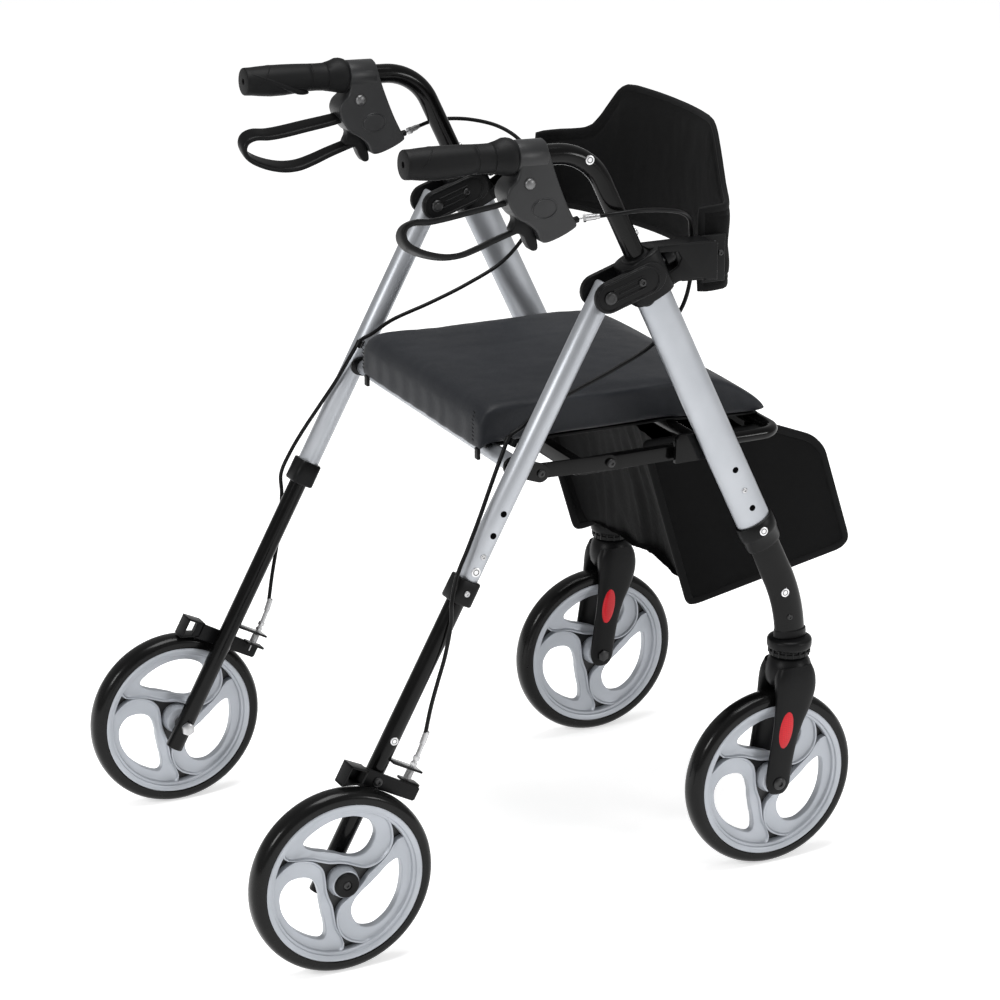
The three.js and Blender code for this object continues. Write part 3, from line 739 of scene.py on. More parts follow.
def makeTyre():
    half = wheel["treadWidth"] / 2
    side = [
        (89.6, 12.2), (91.2, 13.4), (93, 13.9), (94.2, 13.7), (95.2, 13.9), (97.5, 13.7), (99.6, 12.9),
        (101.6, 11.3), (103.2, 9.0), (104.3, 6.3), (104.85, 3.2),
    ]
    side = [(r, x * half / 14) for r, x in side]
    profile = side + [(105, 0)] + [(r, -x) for r, x in reversed(side)]
    return turned(profile, sides=128, closed=True)


def makeWheels():
    rim, web = makeRim()
    tyre = makeTyre()
    for end in ("rear", "front"):
        shift = Matrix.Translation(wheel[f"{end}At"])
        body = end + "_wheel_{}"
        placePair(f"wheel_rim_{end}", moved(rim.copy(), shift), "rim", body, f"{end}_rim", "rim")
        # the pocket floors are dark as painted shade in the rim's pockets
        placePair(f"wheel_web_{end}", moved(web.copy(), shift), "housing", body, None, "rim")
        placePair(f"wheel_tyre_{end}", moved(tyre.copy(), shift), "tyre", body, f"{end}_tyre", "tyre", 60)
    for part in (rim, web, tyre):
        part.free()

    x, y, z = wheel["rearAt"]
    cap = turned(
        [(0, 17), (5.2, 17), (5.2, 19), (6.6, 19.6), (9.4, 19.2), (11, 19.9), (13.4, 19.3), (14.3, 17.8),
         (14.3, 16.5), (0, 16.5)],
        (x, y, z),
    )
    placePair("hub_cap", cap, "plastic", "rear_frame", None, "plastic")
    screw = boltHead((x + 17, y, z), (1, 0, 0), 4.8, 2.4)
    placePair("hub_screw", screw, "darkSteel", "rear_frame", None, "steel")
    shaft = joined(
        rod((204.4, y, z), (262.9, y, z), 5),
        turned([(0, -2), (6.5, -2), (8, -1), (8, 3.4), (0, 3.4)], (201, y, z), sides=6),
        turned([(5, 0), (8, 0.4), (8, 3.2), (5, 3.6)], (225.8, y, z), closed=True),
    )
    placePair("rear_axle_bolt", shaft, "steel", "rear_frame", "rear_axle", "steel")

    x, y, z = wheel["frontAt"]
    outer = 26.8
    shaft = joined(
        rod((x - outer, y, z), (x + outer, y, z), 4),
        boltHead((x + outer - 0.2, y, z), (1, 0, 0), 7.4, 3),
        turned([(0, 0), (6.2, 0), (7.4, 0.8), (7.4, 3), (0, 3)], (x - outer - 3, y, z), sides=6),
    )
    placePair("front_axle_bolt", shaft, "darkSteel", "caster_{}", "front_axle", "steel")
    print("wheels made")


fork = {"lensLean": -10.0, "lensHalf": (2.9, 9.6, 29), "cupRibs": 18}


def makeForks():
    crown = turned(
        [(0, 213), (17, 213.2), (22.5, 215.5), (25.8, 221), (27, 229), (26.4, 237),
         (24.2, 244), (21.5, 248.5),
         (19.5, 250.6), (0, 251)],
        (sideX, casterY, 0), (0, 0, 1), 64,
    )
    # Each arm leaves the crown's side and trails back to the axle: x, y, z, half thickness, half width.
    line = [
        (13, 243, 240, 12.5, 21), (16, 243, 230, 11.5, 24.5), (19, 242, 217, 9.5, 25),
        (21.2, 238.5, 200, 6.8, 22.5), (22.1, 233, 180, 5.2, 18.5), (22.3, 228.5, 160, 4.6, 16),
        (22.3, 224.5, 138, 4.5, 15.2), (22.3, 221.5, 118, 4.5, 15), (22.3, 220.4, 105, 4.5, 14.6),
        (22.3, 220, 97, 4.2, 12.2), (22.3, 220, 92, 3.4, 8), (22.3, 220, 90.3, 1.5, 3.5),
    ]
    parts = [crown]
    for sign in (-1, 1):
        path = smoothed([(sideX + sign * row[0], row[1], row[2]) for row in line], 4)
        sizes = smoothed([(row[3], row[4], 0) for row in line], 4)
        parts.append(swept(path, oval(1, 1, 32, 2.8), [(s.x, s.y) for s in sizes]))
    placePair("caster_fork", joined(*parts), "plastic", "caster_{}", "caster_fork", "plastic", 50)

    for name, sign in (("outer", 1), ("inner", -1)):
        lens = bmesh.new()
        bmesh.ops.create_uvsphere(lens, u_segments=40, v_segments=20, radius=1)
        turn = Matrix.Rotation(math.radians(fork["lensLean"]), 4, "X")
        at = Matrix.Translation((sideX + sign * 25.2, 229, 172))
        moved(lens, at @ turn @ Matrix.Diagonal((*fork["lensHalf"], 1)))
        placePair(f"fork_reflector_{name}", lens, "lens", "caster_{}", None, "plastic", 60)

    cup = turned(
        [(0, 252), (21.5, 252), (23.2, 253.2), (23.4, 257), (22.2, 258), (22.2, 259.4),
         (23.6, 260.4), (25.2, 262),
         (25.5, 264), (25.5, 269.5), (24.6, 271.4), (22.5, 272.8), (19.5, 273.4), (0, 273.4)],
        (sideX, casterY, 0), (0, 0, 1), 64,
    )
    ribs = []
    for i in range(fork["cupRibs"]):
        angle = math.tau * i / fork["cupRibs"]
        at = (sideX + 22.9 * math.cos(angle), casterY + 22.9 * math.sin(angle), 0)
        ribs.append(moved(block((-1, -1, 253), (1, 1, 261), 0.3), Matrix.Translation(at)))
    placePair("caster_cup", joined(cup, *ribs), "plastic", "front_frame", "caster_cup", "plastic")
    print("casters made")


legs = {
    "frontHalf": (13.5, 20.5),
    "frontLength": 346.0,
    "lowerHalf": (11.2, 18.5),
    "lowerBend": 200.0,
    "lowerFoot": 252.6,
    "rearRadius": 12.5,
    "rearLength": 350.0,
    "rearLowerRadius": 10.25,
}


def lowerLegPath():
    # Straight in the silver tube, then an arc down to upright over the caster.
    bendTop, radius, steps = 352.0, legs["lowerBend"], 16
    points = [frontAt(0, 0, legs["frontLength"] - 40)]
    for i in range(steps + 1):
        lean = frontLean * (1 - i / steps)
        y = casterY - radius * (1 - math.cos(lean))
        z = bendTop - radius * (math.sin(frontLean) - math.sin(lean))
        points.append(Vector((sideX, y, z)))
    points.append(Vector((sideX, casterY, legs["lowerFoot"])))
    return points


def makeFrontLegs():
    halfX, halfAcross = legs["frontHalf"]
    length = legs["frontLength"]
    rounding = [(halfX, halfAcross), (halfX, halfAcross), (halfX - 0.4, halfAcross - 0.6)]
    tube = swept(
        [frontAt(0, 0, s) for s in (0, length - 6, length - 2, length)], oval(1, 1, 64),
        [*rounding, (halfX - 1.4, halfAcross - 2.2)],
    )
    tab = plate([(100, 496), (142, 496), (140, 528), (104, 528), (100, 523)], 196.5, 202.8, 0.8)
    placePair("front_leg_tube", tube, "silver", "front_frame", "front_leg", "silver")
    placePair("front_leg_plate", tab, "glossBlack", "front_frame", None, "steel")
    for name, s in (("upper", 268.2), ("lower", 321.1)):
        hole(f"front_leg_{name}", frontAt(0, halfX, s), 3.6, "front_frame")
    screw = boltHead(frontAt(0, halfX - 0.3, 296.7), (1, 0, 0), 3.2, 1.8)
    placePair("front_leg_screw", screw, "steel", "front_frame", None, "steel")

    rows = [
        (length - 3.5, 15.2, 22.2), (length - 2.4, 16.2, 23.2), (length + 11, 16.4, 23.4),
        (length + 14, 16, 23), (length + 15, 15.2, 22.2), (length + 27, 14.6, 21.6),
        (length + 30, 13.6, 20.6), (length + 30.6, 12, 19),
    ]
    path = [frontAt(0, 0, row[0]) for row in rows]
    collar = swept(path, oval(1, 1, 64), [(row[1], row[2]) for row in rows])
    placePair("front_leg_collar", collar, "plastic", "front_frame", "front_leg_collar", "plastic", 50)

    lower = swept(lowerLegPath(), oval(*legs["lowerHalf"], 64))
    placePair("front_lower_leg", lower, "glossBlack", "front_frame", "front_lower_leg", "gloss_black")
    seam = swept(
        [(sideX, casterY, z) for z in (283, 282, 274.4, 273.6)], oval(1, 1, 64),
        [(11.4, 18.7), (12.4, 19.7), (12.8, 20.1), (12.2, 19.4)],
    )
    placePair("front_lower_leg_ferrule", seam, "plastic", "front_frame", None, "plastic")
    badge("front_collar", frontAt(0, 16.2, 353), "front_frame")
    badge("front_lower", frontAt(-4.5, 10.8, 440), "front_frame")
    screw = boltHead((sideX + 10.8, 237, 300), (1, 0, 0), 3.4, 1.8)
    placePair("front_lower_leg_screw", screw, "darkSteel", "front_frame", None, "steel")
    cross = rod((-196.2, 124, 520), (196.2, 124, 520), 7.5, 0.8)
    place("front_cross_rod", cross, "glossBlack", "front_frame", ["front_cross_tube"], "silver")
    print("front legs made")


def hole(name, at, radius, body):
    # A dark plug in painted shade that stands for a hole in a tube's outer side.
    profile = [(0, 0.25), (radius * 0.7, 0.22), (radius, 0.05), (radius, -1.2), (0, -1.2)]
    shape = turned(profile, at, (1, 0, 0), 24)
    placePair(name, shape, "void", body, None, "steel")


def badge(name, at, body, radius=5.0):
    # A plain disc with a dark ring.
    low, high = radius * 0.5, radius * 0.66
    disc = turned([(0, 0.5), (high, 0.5), (radius * 0.9, 0.6), (radius, 0.3), (radius, -1.4), (0, -1.4)], at)
    placePair(f"{name}_badge", disc, "badge", body, None, "plastic")
    ring = turned([(low, 0.4), (low, 0.62), (high, 0.66), (high, 0.4)], at, closed=True)
    placePair(f"{name}_badge_ring", ring, "plastic", body, None, "plastic")


linkFoot = rearAt(35.3, 0, 202.8)  # where each fold link meets its rear leg


def makeRearLegs():
    radius, length = legs["rearRadius"], legs["rearLength"]
    tube = swept(
        [rearAt(0, 0, s) for s in (-12, -11.4, -9, length - 1, length)], oval(1, 1, 64),
        [(r, r) for r in (radius - 2.6, radius - 1, radius, radius, radius - 0.6)],
    )
    lug = plate(capsule(rearAt(0, 0, 208).yz, linkFoot.yz, 10.5), sideX - 16.3, sideX - 11.6, 0.8)
    placePair("rear_leg_tube", tube, "silver", "rear_frame", "rear_leg", "silver")
    placePair("rear_leg_plate", lug, "glossBlack", "rear_frame", None, "steel")
    for name, s in (("upper", 256), ("lower", 281.9)):
        hole(f"rear_leg_{name}", rearAt(0, radius, s), 3.6, "rear_frame")
    screw = boltHead(rearAt(0, radius - 0.4, 307), (1, 0, 0), 3.2, 1.8)
    placePair("rear_leg_screw", screw, "steel", "rear_frame", None, "steel")
    badge("rear_collar", rearAt(0, 12.3, 325), "rear_frame", 5.2)
    badge("rear_lower", rearAt(0, 10.1, 527.7), "rear_frame", 4.6)

    rows = [
        (length - 14, 13.4, 13.4), (length - 13, 14.3, 14.3), (length + 12, 14.5, 14.5),
        (length + 13.6, 13.6, 13.6), (length + 14, 12, 12),
    ]
    path = [rearAt(0, 0, row[0]) for row in rows]
    collar = swept(path, oval(1, 1, 64, 4.5), [(row[1], row[2]) for row in rows])
    placePair("rear_leg_collar", collar, "plastic", "rear_frame", "rear_leg_collar", "plastic", 50)
    screw = boltHead(rearAt(0, 14.4, length), (1, 0, 0), 3.4, 1.8)
    placePair("rear_collar_screw", screw, "steel", "rear_frame", None, "steel")

    lowerRadius = legs["rearLowerRadius"]
    lower = swept(
        [rearAt(0, 0, s) for s in (length - 40, 712, 713.6, 714)], oval(1, 1, 48),
        [(r, r) for r in (lowerRadius, lowerRadius, lowerRadius - 0.6, lowerRadius - 1.8)],
    )
    tab = moved(block((9, -5, 548.6), (48, 13, 551), 0.6), onRear)
    lower = joined(lower, tab)
    placePair("rear_lower_tube", lower, "glossBlack", "rear_frame", "rear_lower_tube", "gloss_black")
    cross = rod((-198.2, -94, 522), (198.2, -94, 522), 9.5, 0.8)
    place("rear_cross_rod", cross, "silver", "rear_frame", ["rear_cross_tube"], "silver")
    print("rear legs made")


brake = {
    "pivot": 574.5,
    "springAcross": 38.0,
    "springX": 4.0,
    "coilFrom": 552.0,
    "coilTo": 562.2,
    "coilTurns": 7,
}


def makeWheelBrakes():
    top, foot = brake["pivot"] - 11, brake["pivot"] + 11

    def onArm(outline, low, high, edge):
        return plate([rearAt(a, 0, s).yz for a, s in outline], sideX + low, sideX + high, edge)

    flank = [
        (-35, foot - 5), (-28, foot - 3), (50, foot - 3.6), (52, foot - 5.6), (52, top + 3.4),
        (50, top + 2), (-35, top),
    ]
    arm = joined(
        onArm(flank, 11.2, 15.0, 0.6),
        onArm([(30, top), (52, top), (52, top + 2.6), (30, top + 2.6)], -3, 12, 0.4),
        # the shoe: a channel open at its outer end, over the tyre
        onArm([(-26, 578), (-26, top - 1), (-28.4, top - 1), (-28.4, 579)], 11.2, 32, 0.5),
        onArm([(-45.6, 587), (-45.6, top), (-48, top), (-48, 588)], 11.2, 32, 0.5),
        onArm([(-26, top - 1), (-48, top), (-48, top + 2.4), (-26, top + 1.4)], 11.2, 32, 0.5),
        onArm([(-26, 580), (-48, 588.6), (-48, 586), (-26, 577.6)], 11.2, 30, 0.5),
    )
    placePair("brake_arm", arm, "plastic", "brake_arm_{}", "brake_arm", "plastic")
    pivot = boltHead(rearAt(0, 15.0, brake["pivot"]), (1, 0, 0), 5.4, 2.6)
    placePair("brake_pivot_screw", pivot, "darkSteel", "rear_frame", None, "steel")

    across, x = brake["springAcross"], brake["springX"]
    low, high = brake["coilFrom"], brake["coilTo"]
    steps = brake["coilTurns"] * 16
    coil = []
    for i in range(steps + 1):
        angle = math.tau * i / 16
        down = low + (high - low) * i / steps
        coil.append(rearAt(across + 3.8 * math.cos(angle), x + 3.8 * math.sin(angle), down))
    spring = swept(coil, oval(0.75, 0.75, 8))
    placePair("brake_spring", spring, "steel", "rear_frame", "brake_spring", "steel", 60)
    ferrule = joined(
        rod(rearAt(across - 3, x + 0.6, 506), rearAt(across - 1, x, 522), 3.4, 0.8),
        rod(rearAt(across - 1, x, 520), rearAt(across, x, 535), 2.6, 0.3),
        turned([(0, 0), (4.2, 0), (4.2, 4), (0, 4)], rearAt(across, x, 536), rearDown, 6),
        turned([(0, 0), (4.2, 0), (4.2, 3), (0, 3)], rearAt(across, x, 543.5), rearDown, 6),
        rod(rearAt(across, x, 534), rearAt(across, x, 554), 2.6, 0.3),
        rod(rearAt(across, x, 544), rearAt(across, x, 574), 0.8, 0.2),
    )
    placePair("cable_adjuster", ferrule, "steel", "rear_frame", None, "steel")
    print("wheel brakes made")


bracket = {"earInner": (195.4, 201.7), "earOuter": (228.3, 234.4), "earRadius": 17.5, "earFront": (50, 722)}


def makeTopBrackets():
    rear, front = foldPivot.yz, Vector(bracket["earFront"])
    along = (front - rear).normalized()
    across = Vector((-along.y, along.x))
    parts = []
    for skin, (low, high) in zip((195.4, 234.4), (bracket["earInner"], bracket["earOuter"])):
        parts.append(plate(capsule(rear, front, bracket["earRadius"]), low, high, 1.4))
        rim = [Vector((skin, y, z)) for y, z in capsule(rear, (44, 720), bracket["earRadius"] - 2.6, 14)]
        parts.append(swept(rim, oval(1.1, 1.3, 10), closed=True))
        # three raised ribs along the ear
        for offset, start in ((-6.2, 5), (0, 11), (6.2, 5)):
            a = rear + along * start + across * offset
            b = Vector((41, 719.2)) + across * offset
            parts.append(rod((skin, *a), (skin, *b), 1.15, 0.5, 12))
    rows = [
        (-14, 23.4, 16.6), (-13.2, 24.6, 17.6), (-11.8, 25, 18), (33, 25, 18), (35.2, 24.4, 17.5),
        (36, 23, 16.2),
    ]
    sizes = [(row[2], row[1]) for row in rows]
    parts.append(swept([frontAt(0, 0, row[0]) for row in rows], oval(1, 1, 64, 3.2), sizes))
    lid = [(0, 0), (15.4, 0), (15.4, 1.5), (14.6, 2.6), (12, 3), (0, 3)]
    parts.append(turned(lid, frontAt(0, 0, -13.5), frontUp))
    parts.append(plate(capsule((47, 706), (47, 700), 11, 12), 199.5, 230.5, 2.5))
    placePair("top_bracket", joined(*parts), "plastic", "front_frame", "top_bracket", "plastic")

    bolt = joined(
        rod((191.2, *rear), (238, *rear), 4, 0.3),
        boltHead((235.1, *rear), (1, 0, 0), 7.0, 3.2),
        boltHead((194.9, *rear), (-1, 0, 0), 7.0, 3.2),
    )
    placePair("fold_bolt", bolt, "darkSteel", "front_frame", "fold_bolt", "steel")
    for name, x, axis in (("outer", 234.4, 1), ("inner", 195.6, -1)):
        second = boltHead((x, 38, 718.2), (axis, 0, 0), 4.4, 2.4)
        placePair(f"bracket_screw_{name}", second, "darkSteel", "front_frame", None, "steel")

    shank = [(0, 12)]
    for i in range(7):
        shank += [(3.6, 14 + i * 2), (4.6, 15 + i * 2)]
    shank += [(4.2, 28), (0, 28)]
    at = frontAt(0, 0, 6.6)
    thread = turned(shank, at, frontAhead, 32)
    placePair("lock_thread", thread, "steel", "height_lock_{}", None, "steel")
    knob = turned(
        [(0, 27), (6.4, 27), (8.2, 28), (9, 30), (9, 37), (8.2, 39.4), (6.2, 40.8), (4.4, 41), (4.2, 40.2),
         (0, 40.2)],
        at, frontAhead,
    )
    placePair("lock_knob", knob, "plastic", "height_lock_{}", "height_lock", "plastic")
    insert = turned([(0, 40.2), (3.6, 40.2), (3.4, 41), (0, 41.3)], at, frontAhead, 32)
    placePair("lock_insert", insert, "steel", "height_lock_{}", None, "steel")
    print("top brackets made")


backrest = {
    "low": 690.0,
    "halfPad": 5.2,  # mm from the middle of the pad to its skin
    "halfEdge": 1.9,
    "groove": 9.0,  # mm from the edge to the stitch line
    "columns": 132,
    "rows": 44,
    "wrinkle": 0.9,
}
# half of the backrest's line from above, as (x, y), and its top edge, as (x, z)
bowHalf = [(194.4, 131), (194.4, 150), (187, 166), (150, 183), (100, 197), (50, 206)]
bowTops = [
    (0, 846), (84, 846.5), (98, 845), (108, 840), (120, 826), (140, 801), (152, 789), (166, 782),
    (186, 777.5), (215, 774),
]


def makeBackrestArms():
    profile = [
        (52, 751.5), (128, 750), (136, 748), (136, 706), (112, 711), (89, 710), (64, 699.5), (56, 701),
        (60, 709), (76, 720), (88, 727), (92, 735), (88, 743), (60, 745),
    ]
    cheeks = [plate(profile, low, high, 1.2) for low, high in ((198, 201.6), (219, 222.8))]
    web = plate([(94, 709), (128, 707), (128, 748), (94, 748)], 200, 221, 1)
    roof = plate([(50, 752), (126, 751), (126, 748.4), (52, 748.6)], 198.4, 222.4, 0.8)
    arm = joined(*cheeks, web, roof)
    knuckle = [block((200.5, 121, z), (222.6, 134.5, z + 5.4), 1.2) for z in range(707, 748, 7)]
    barrel = rod((211, 128, 706), (211, 128, 748.6), 5.4, 0.8)
    endPlate = block((199.8, 127, 698), (203.8, 156, 751), 1.2)
    screws = [boltHead((203.7, y, z), (1, 0, 0), 3.4, 1.8) for y, z in ((143, 741), (150, 730), (143, 710))]
    arm = joined(arm, barrel, endPlate, *knuckle)
    placePair("backrest_arm", arm, "plastic", "front_frame", "backrest_arm", "plastic")
    placePair("backrest_screws", joined(*screws), "darkSteel", "front_frame", None, "steel")


def bowPath(count):
    right = [Vector((x, y, 0)) for x, y in bowHalf]
    line = smoothed([*right, Vector((0, 209, 0)), *[Vector((-p.x, p.y, 0)) for p in reversed(right)]], 24)
    lengths = [0]
    for a, b in zip(line, line[1:]):
        lengths.append(lengths[-1] + (b - a).length)
    points = []
    for i in range(count):
        want = lengths[-1] * i / (count - 1)
        k = max(1, next((j for j, length in enumerate(lengths) if length >= want - 1e-9), len(lengths) - 1))
        t = (want - lengths[k - 1]) / (lengths[k] - lengths[k - 1])
        points.append(line[k - 1].lerp(line[k], t))
    return points, lengths[-1]


def bowTop(x):
    x = abs(x)
    for (x0, z0), (x1, z1) in zip(bowTops, bowTops[1:]):
        if x <= x1:
            t = (x - x0) / (x1 - x0)
            return z0 + (z1 - z0) * t
    return bowTops[-1][1]


def makeBackrest():
    columns, rows = backrest["columns"], backrest["rows"]
    line, length = bowPath(columns + 1)
    low = backrest["low"]
    bm = bmesh.new()
    bmesh.ops.create_grid(bm, x_segments=columns, y_segments=rows, size=0.5)
    made = bmesh.ops.extrude_face_region(bm, geom=bm.faces[:])
    bmesh.ops.translate(bm, vec=(0, 0, 1), verts=newVerts(made))
    flat = bm.loops.layers.uv.new("flat")
    for face in bm.faces:
        for corner in face.loops:
            u, v = corner.vert.co.x + 0.5, corner.vert.co.y + 0.5
            x = line[round(u * columns)].x
            corner[flat].uv = (u * length / 1000, v * (bowTop(x) - low) / 1000)
    for vert in bm.verts:
        u, v, skin = vert.co.x + 0.5, vert.co.y + 0.5, 1 if vert.co.z > 0.5 else -1
        i = round(u * columns)
        at = line[i]
        along = (line[min(i + 1, columns)] - line[max(i - 1, 0)]).normalized()
        out = Vector((along.y, -along.x, 0))
        height = bowTop(at.x) - low
        slope = abs(bowTop(at.x + 2) - bowTop(at.x - 2)) / 4
        fromTop = (1 - v) * height / math.sqrt(1 + slope**2)
        near = min(v * height, fromTop, u * length, (1 - u) * length)
        swell = min(1, near / 26)
        fullness = math.sin(swell * math.pi / 2)
        thick = backrest["halfEdge"] + (backrest["halfPad"] - backrest["halfEdge"]) * fullness
        thick -= 1.3 * math.exp(-(((near - backrest["groove"]) / 1.6) ** 2))
        pull = noise.noise(Vector((u * 17, v * 2.2, 3.1))) + 0.5 * noise.noise(Vector((u * 39, v * 4, 8.7)))
        ripple = backrest["wrinkle"] * pull * swell
        belly = 3.0 * math.sin(math.pi * v) * min(1, near / 40)
        z = low + v * height
        vert.co = Vector((at.x, at.y, z)) + out * (thick * skin + ripple - belly)
    bmesh.ops.recalc_face_normals(bm, faces=bm.faces)
    pad = place("backrest_pad", bm, "fabric", "front_frame", ["backrest"], "fabric", 60)

    def onPad(i, v):
        return Vector((line[i].x, line[i].y, low + v * (bowTop(line[i].x) - low)))

    upright = (0.15, 0.3, 0.45, 0.6, 0.75, 0.9)
    rim = [onPad(i, 0) for i in range(0, columns + 1, 2)] + [onPad(-1, v) for v in upright]
    rim += [onPad(i, 1) for i in range(columns, -1, -2)] + [onPad(0, v) for v in reversed(upright)]
    tape = swept(rim, oval(4.4, 2.9, 16, 3), closed=True, side=(0, 0, 1))
    place("backrest_binding", tape, "binding", "front_frame", (), "fabric", 60)
    print("backrest made")


handle = {
    "radius": 11.1,
    "bend": 64.0,
    "tilt": math.radians(2.55),
    "levelAt": (sideX, -60, 864),
    "foot": 150.0,
}


def handleAxis(y):
    return Vector((sideX, y, handle["levelAt"][2] + (handle["levelAt"][1] - y) * math.tan(handle["tilt"])))


def roundCorner(before, corner, after, radius, steps=20):
    back, ahead = (before - corner).normalized(), (after - corner).normalized()
    half = back.angle(ahead) / 2
    middle = corner + (back + ahead).normalized() * (radius / math.sin(half))
    start = corner + back * (radius / math.tan(half))
    end = corner + ahead * (radius / math.tan(half))
    axis = (start - middle).cross(end - middle).normalized()
    return [
        middle + Matrix.Rotation((math.pi - 2 * half) * i / steps, 3, axis) @ (start - middle)
        for i in range(steps + 1)
    ]


def handlePath():
    # The upright leaves the front leg and bends back to the grip where the two lines cross.
    foot = frontAt(0, 0, handle["foot"])
    slope = math.tan(handle["tilt"])
    level = handleAxis(0).z
    corner = frontTop + frontUp * (level - frontTop.y * slope - frontTop.z) / (frontUp.z + frontUp.y * slope)
    back = handleAxis(-224)
    return [foot, *roundCorner(foot, corner, back, handle["bend"]), back]


def alongHandle(profile, sides=64):
    # A round piece on the level part of the handle, from (radius, y) pairs.
    axis = (handleAxis(100) - handleAxis(-100)).normalized()
    y0 = profile[0][1]
    return turned([(r, y - y0) for r, y in profile], handleAxis(y0), axis, sides)


def roundAxis(y, angle, reach):
    # A point beside the level part of the handle; the angle is from straight up, outwards.
    return handleAxis(y) + Vector((math.sin(angle) * reach, 0, math.cos(angle) * reach))


def makeGrip():
    profile = [
        (0, -227.6), (3.2, -227.6), (3.6, -230), (14.2, -230), (15.1, -229.6), (15.5, -228.6),
        (15.6, -224.5), (15.6, -221.4), (16.3, -212), (16.9, -198), (17, -182), (16.8, -168),
        (16.4, -156), (16.2, -151.4), (15.7, -151), (15.7, -150), (16.2, -149.6), (16, -142),
        (16.1, -134), (16.3, -132.4), (15.9, -132), (15.9, -131), (16.6, -130.6), (17.4, -124),
        (18.4, -118), (19.3, -113.5), (19.6, -110), (19.2, -107.8), (18.2, -106.9), (11.8, -106.8),
    ]
    grip = alongHandle(profile)
    for vert in grip.verts:
        middle = handleAxis(vert.co.y)
        out = vert.co - middle
        radius = math.hypot(out.x, out.z)
        if radius < 12 or radius > 25:
            continue
        up = out.z / radius
        swell = math.exp(-(((vert.co.y + 117) / 7) ** 2)) * max(0, up) ** 3 * 2.6
        palm = math.exp(-(((vert.co.y + 196) / 26) ** 2)) * max(0, -up) * 1.6
        waist = math.exp(-(((vert.co.y + 150) / 22) ** 2)) * max(0, -up) * -1.2
        scale = 1 + (swell + palm + waist) / radius
        vert.co.x = middle.x + out.x * scale
        vert.co.z = middle.z + out.z * scale
    placePair("grip", grip, "grip", "handle_{}", "grip", "grip", 50)
    for name, side in (("outer", 1), ("inner", -1)):
        curl, sizes = [], []
        for i in range(15):
            t = i / 14
            angle = math.radians(90 - 100 * t * t * (3 - 2 * t)) * side
            curl.append(roundAxis(-216 + 26 * t, angle, 16.4))
            sizes.append((max(0.15, math.sin(math.pi * t)),) * 2)
        ridge = swept(curl, oval(0.9, 0.9, 10), sizes)
        placePair(f"grip_ridge_{name}", ridge, "grip", "handle_{}", None, "grip")
    # The palm rest: a low wing from the rear end's top down the inner side to the middle.
    wing, sizes = [], []
    for i in range(21):
        t = i / 20
        wing.append(roundAxis(-224 + 70 * t, -math.radians(48 + 112 * t), 14.4 + 2.2 * t))
        sizes.append(((1.3 + 3.4 * t) * min(1, math.sqrt(5.1 - 5 * t)),) * 2)
    placePair("grip_wing", swept(wing, oval(1, 1, 16), sizes), "grip", "handle_{}", None, "grip")


def makeHousing():
    outline = [
        (-104, 872), (-88, 874), (-72, 872), (-68, 862), (-62, 844), (-52, 818), (-43, 799),
        (-38.5, 790), (-42, 785.5), (-56, 779), (-72, 774.5), (-80, 776.5), (-85.5, 788), (-96, 797),
        (-106, 803), (-115, 815), (-119.5, 828), (-116.5, 838), (-108, 846), (-105, 858),
    ]
    body = plateFrom(outline, 198.4, 231.6, 4.2, 5)
    collar = alongHandle(
        [(0, -105.8), (16.6, -105.8), (17.8, -104.6), (17.8, -73), (16.6, -71.6), (0, -71.6)]
    )
    placePair("brake_housing", joined(body, collar), "housing", "handle_{}", "brake_housing", "plastic", 42)
    for name, x, away in (("outer", 231.4, 1), ("inner", 198.6, -1)):
        cover = turned(
            [(0, -0.6), (12.3, -0.6), (12.3, 0.4), (11.8, 0.8), (11.2, 0.5), (10.7, 0.3),
             (10.2, 0.9), (0, 1.2)],
            sides=64,
        )
        moved(cover, Matrix.Translation((x, -77, 812)) @ Matrix.Diagonal((away, 1.24, 0.92, 1)))
        if away < 0:
            bmesh.ops.reverse_faces(cover, faces=cover.faces)
        placePair(f"housing_cover_{name}", cover, "housing", "handle_{}", None, "plastic")
        dome = [(0, -0.5), (6.2, -0.5), (6.2, 1.2), (5.4, 2.4), (4.4, 3.2), (0, 3.6)]
        bolt = turned(dome, (x, -94, 840), (away, 0, 0))
        placePair(f"housing_bolt_{name}", bolt, "dullSteel", "handle_{}", None, "steel")


lever = {"widen": 1.22, "halfThick": 3.4, "slant": 0.34}


def makeLever():
    outline = [
        (-84, 845), (-99, 845), (-108, 828), (-113, 821), (-111, 814), (-106, 800), (-110, 788), (-97, 783),
        (-91.5, 772), (-86, 765), (-79.5, 767.5), (-82, 786), (-79, 800),
    ]
    body = plateFrom(outline, 208.2, 221.8, 1.6)
    # the loop's line, as y, z and half width
    line = [
        (-104, 822, 6), (-113, 818.8, 6.6), (-130, 816, 7.2), (-157, 812.8, 7.6), (-184, 809.4, 7.8),
        (-203, 808.2, 7.8), (-219, 809.4, 7.8), (-229.5, 805.6, 7.8), (-233, 797.4, 7.8),
        (-229, 787.6, 7.8), (-218, 779.6, 7.8), (-202, 772.8, 7.8), (-184, 768.6, 7.6),
        (-166, 768.6, 7.2), (-148, 773, 6.6), (-128, 779.6, 6), (-108, 785.4, 5.6), (-96, 788.6, 5.4),
    ]
    path = smoothed([(sideX, y, z) for y, z, _ in line], 5)
    widths = smoothed([(w, 0, 0) for _, _, w in line], 5)
    strap = swept(path, oval(1, 1, 32, 3.4), [(w.x * lever["widen"], lever["halfThick"]) for w in widths])
    for vert in strap.verts:
        # the loop's inner edge lies lower than its outer edge
        vert.co.z += lever["slant"] * (vert.co.x - sideX)
    placePair("brake_lever", joined(body, strap), "plastic", "brake_lever_{}", "brake_lever", "plastic", 45)


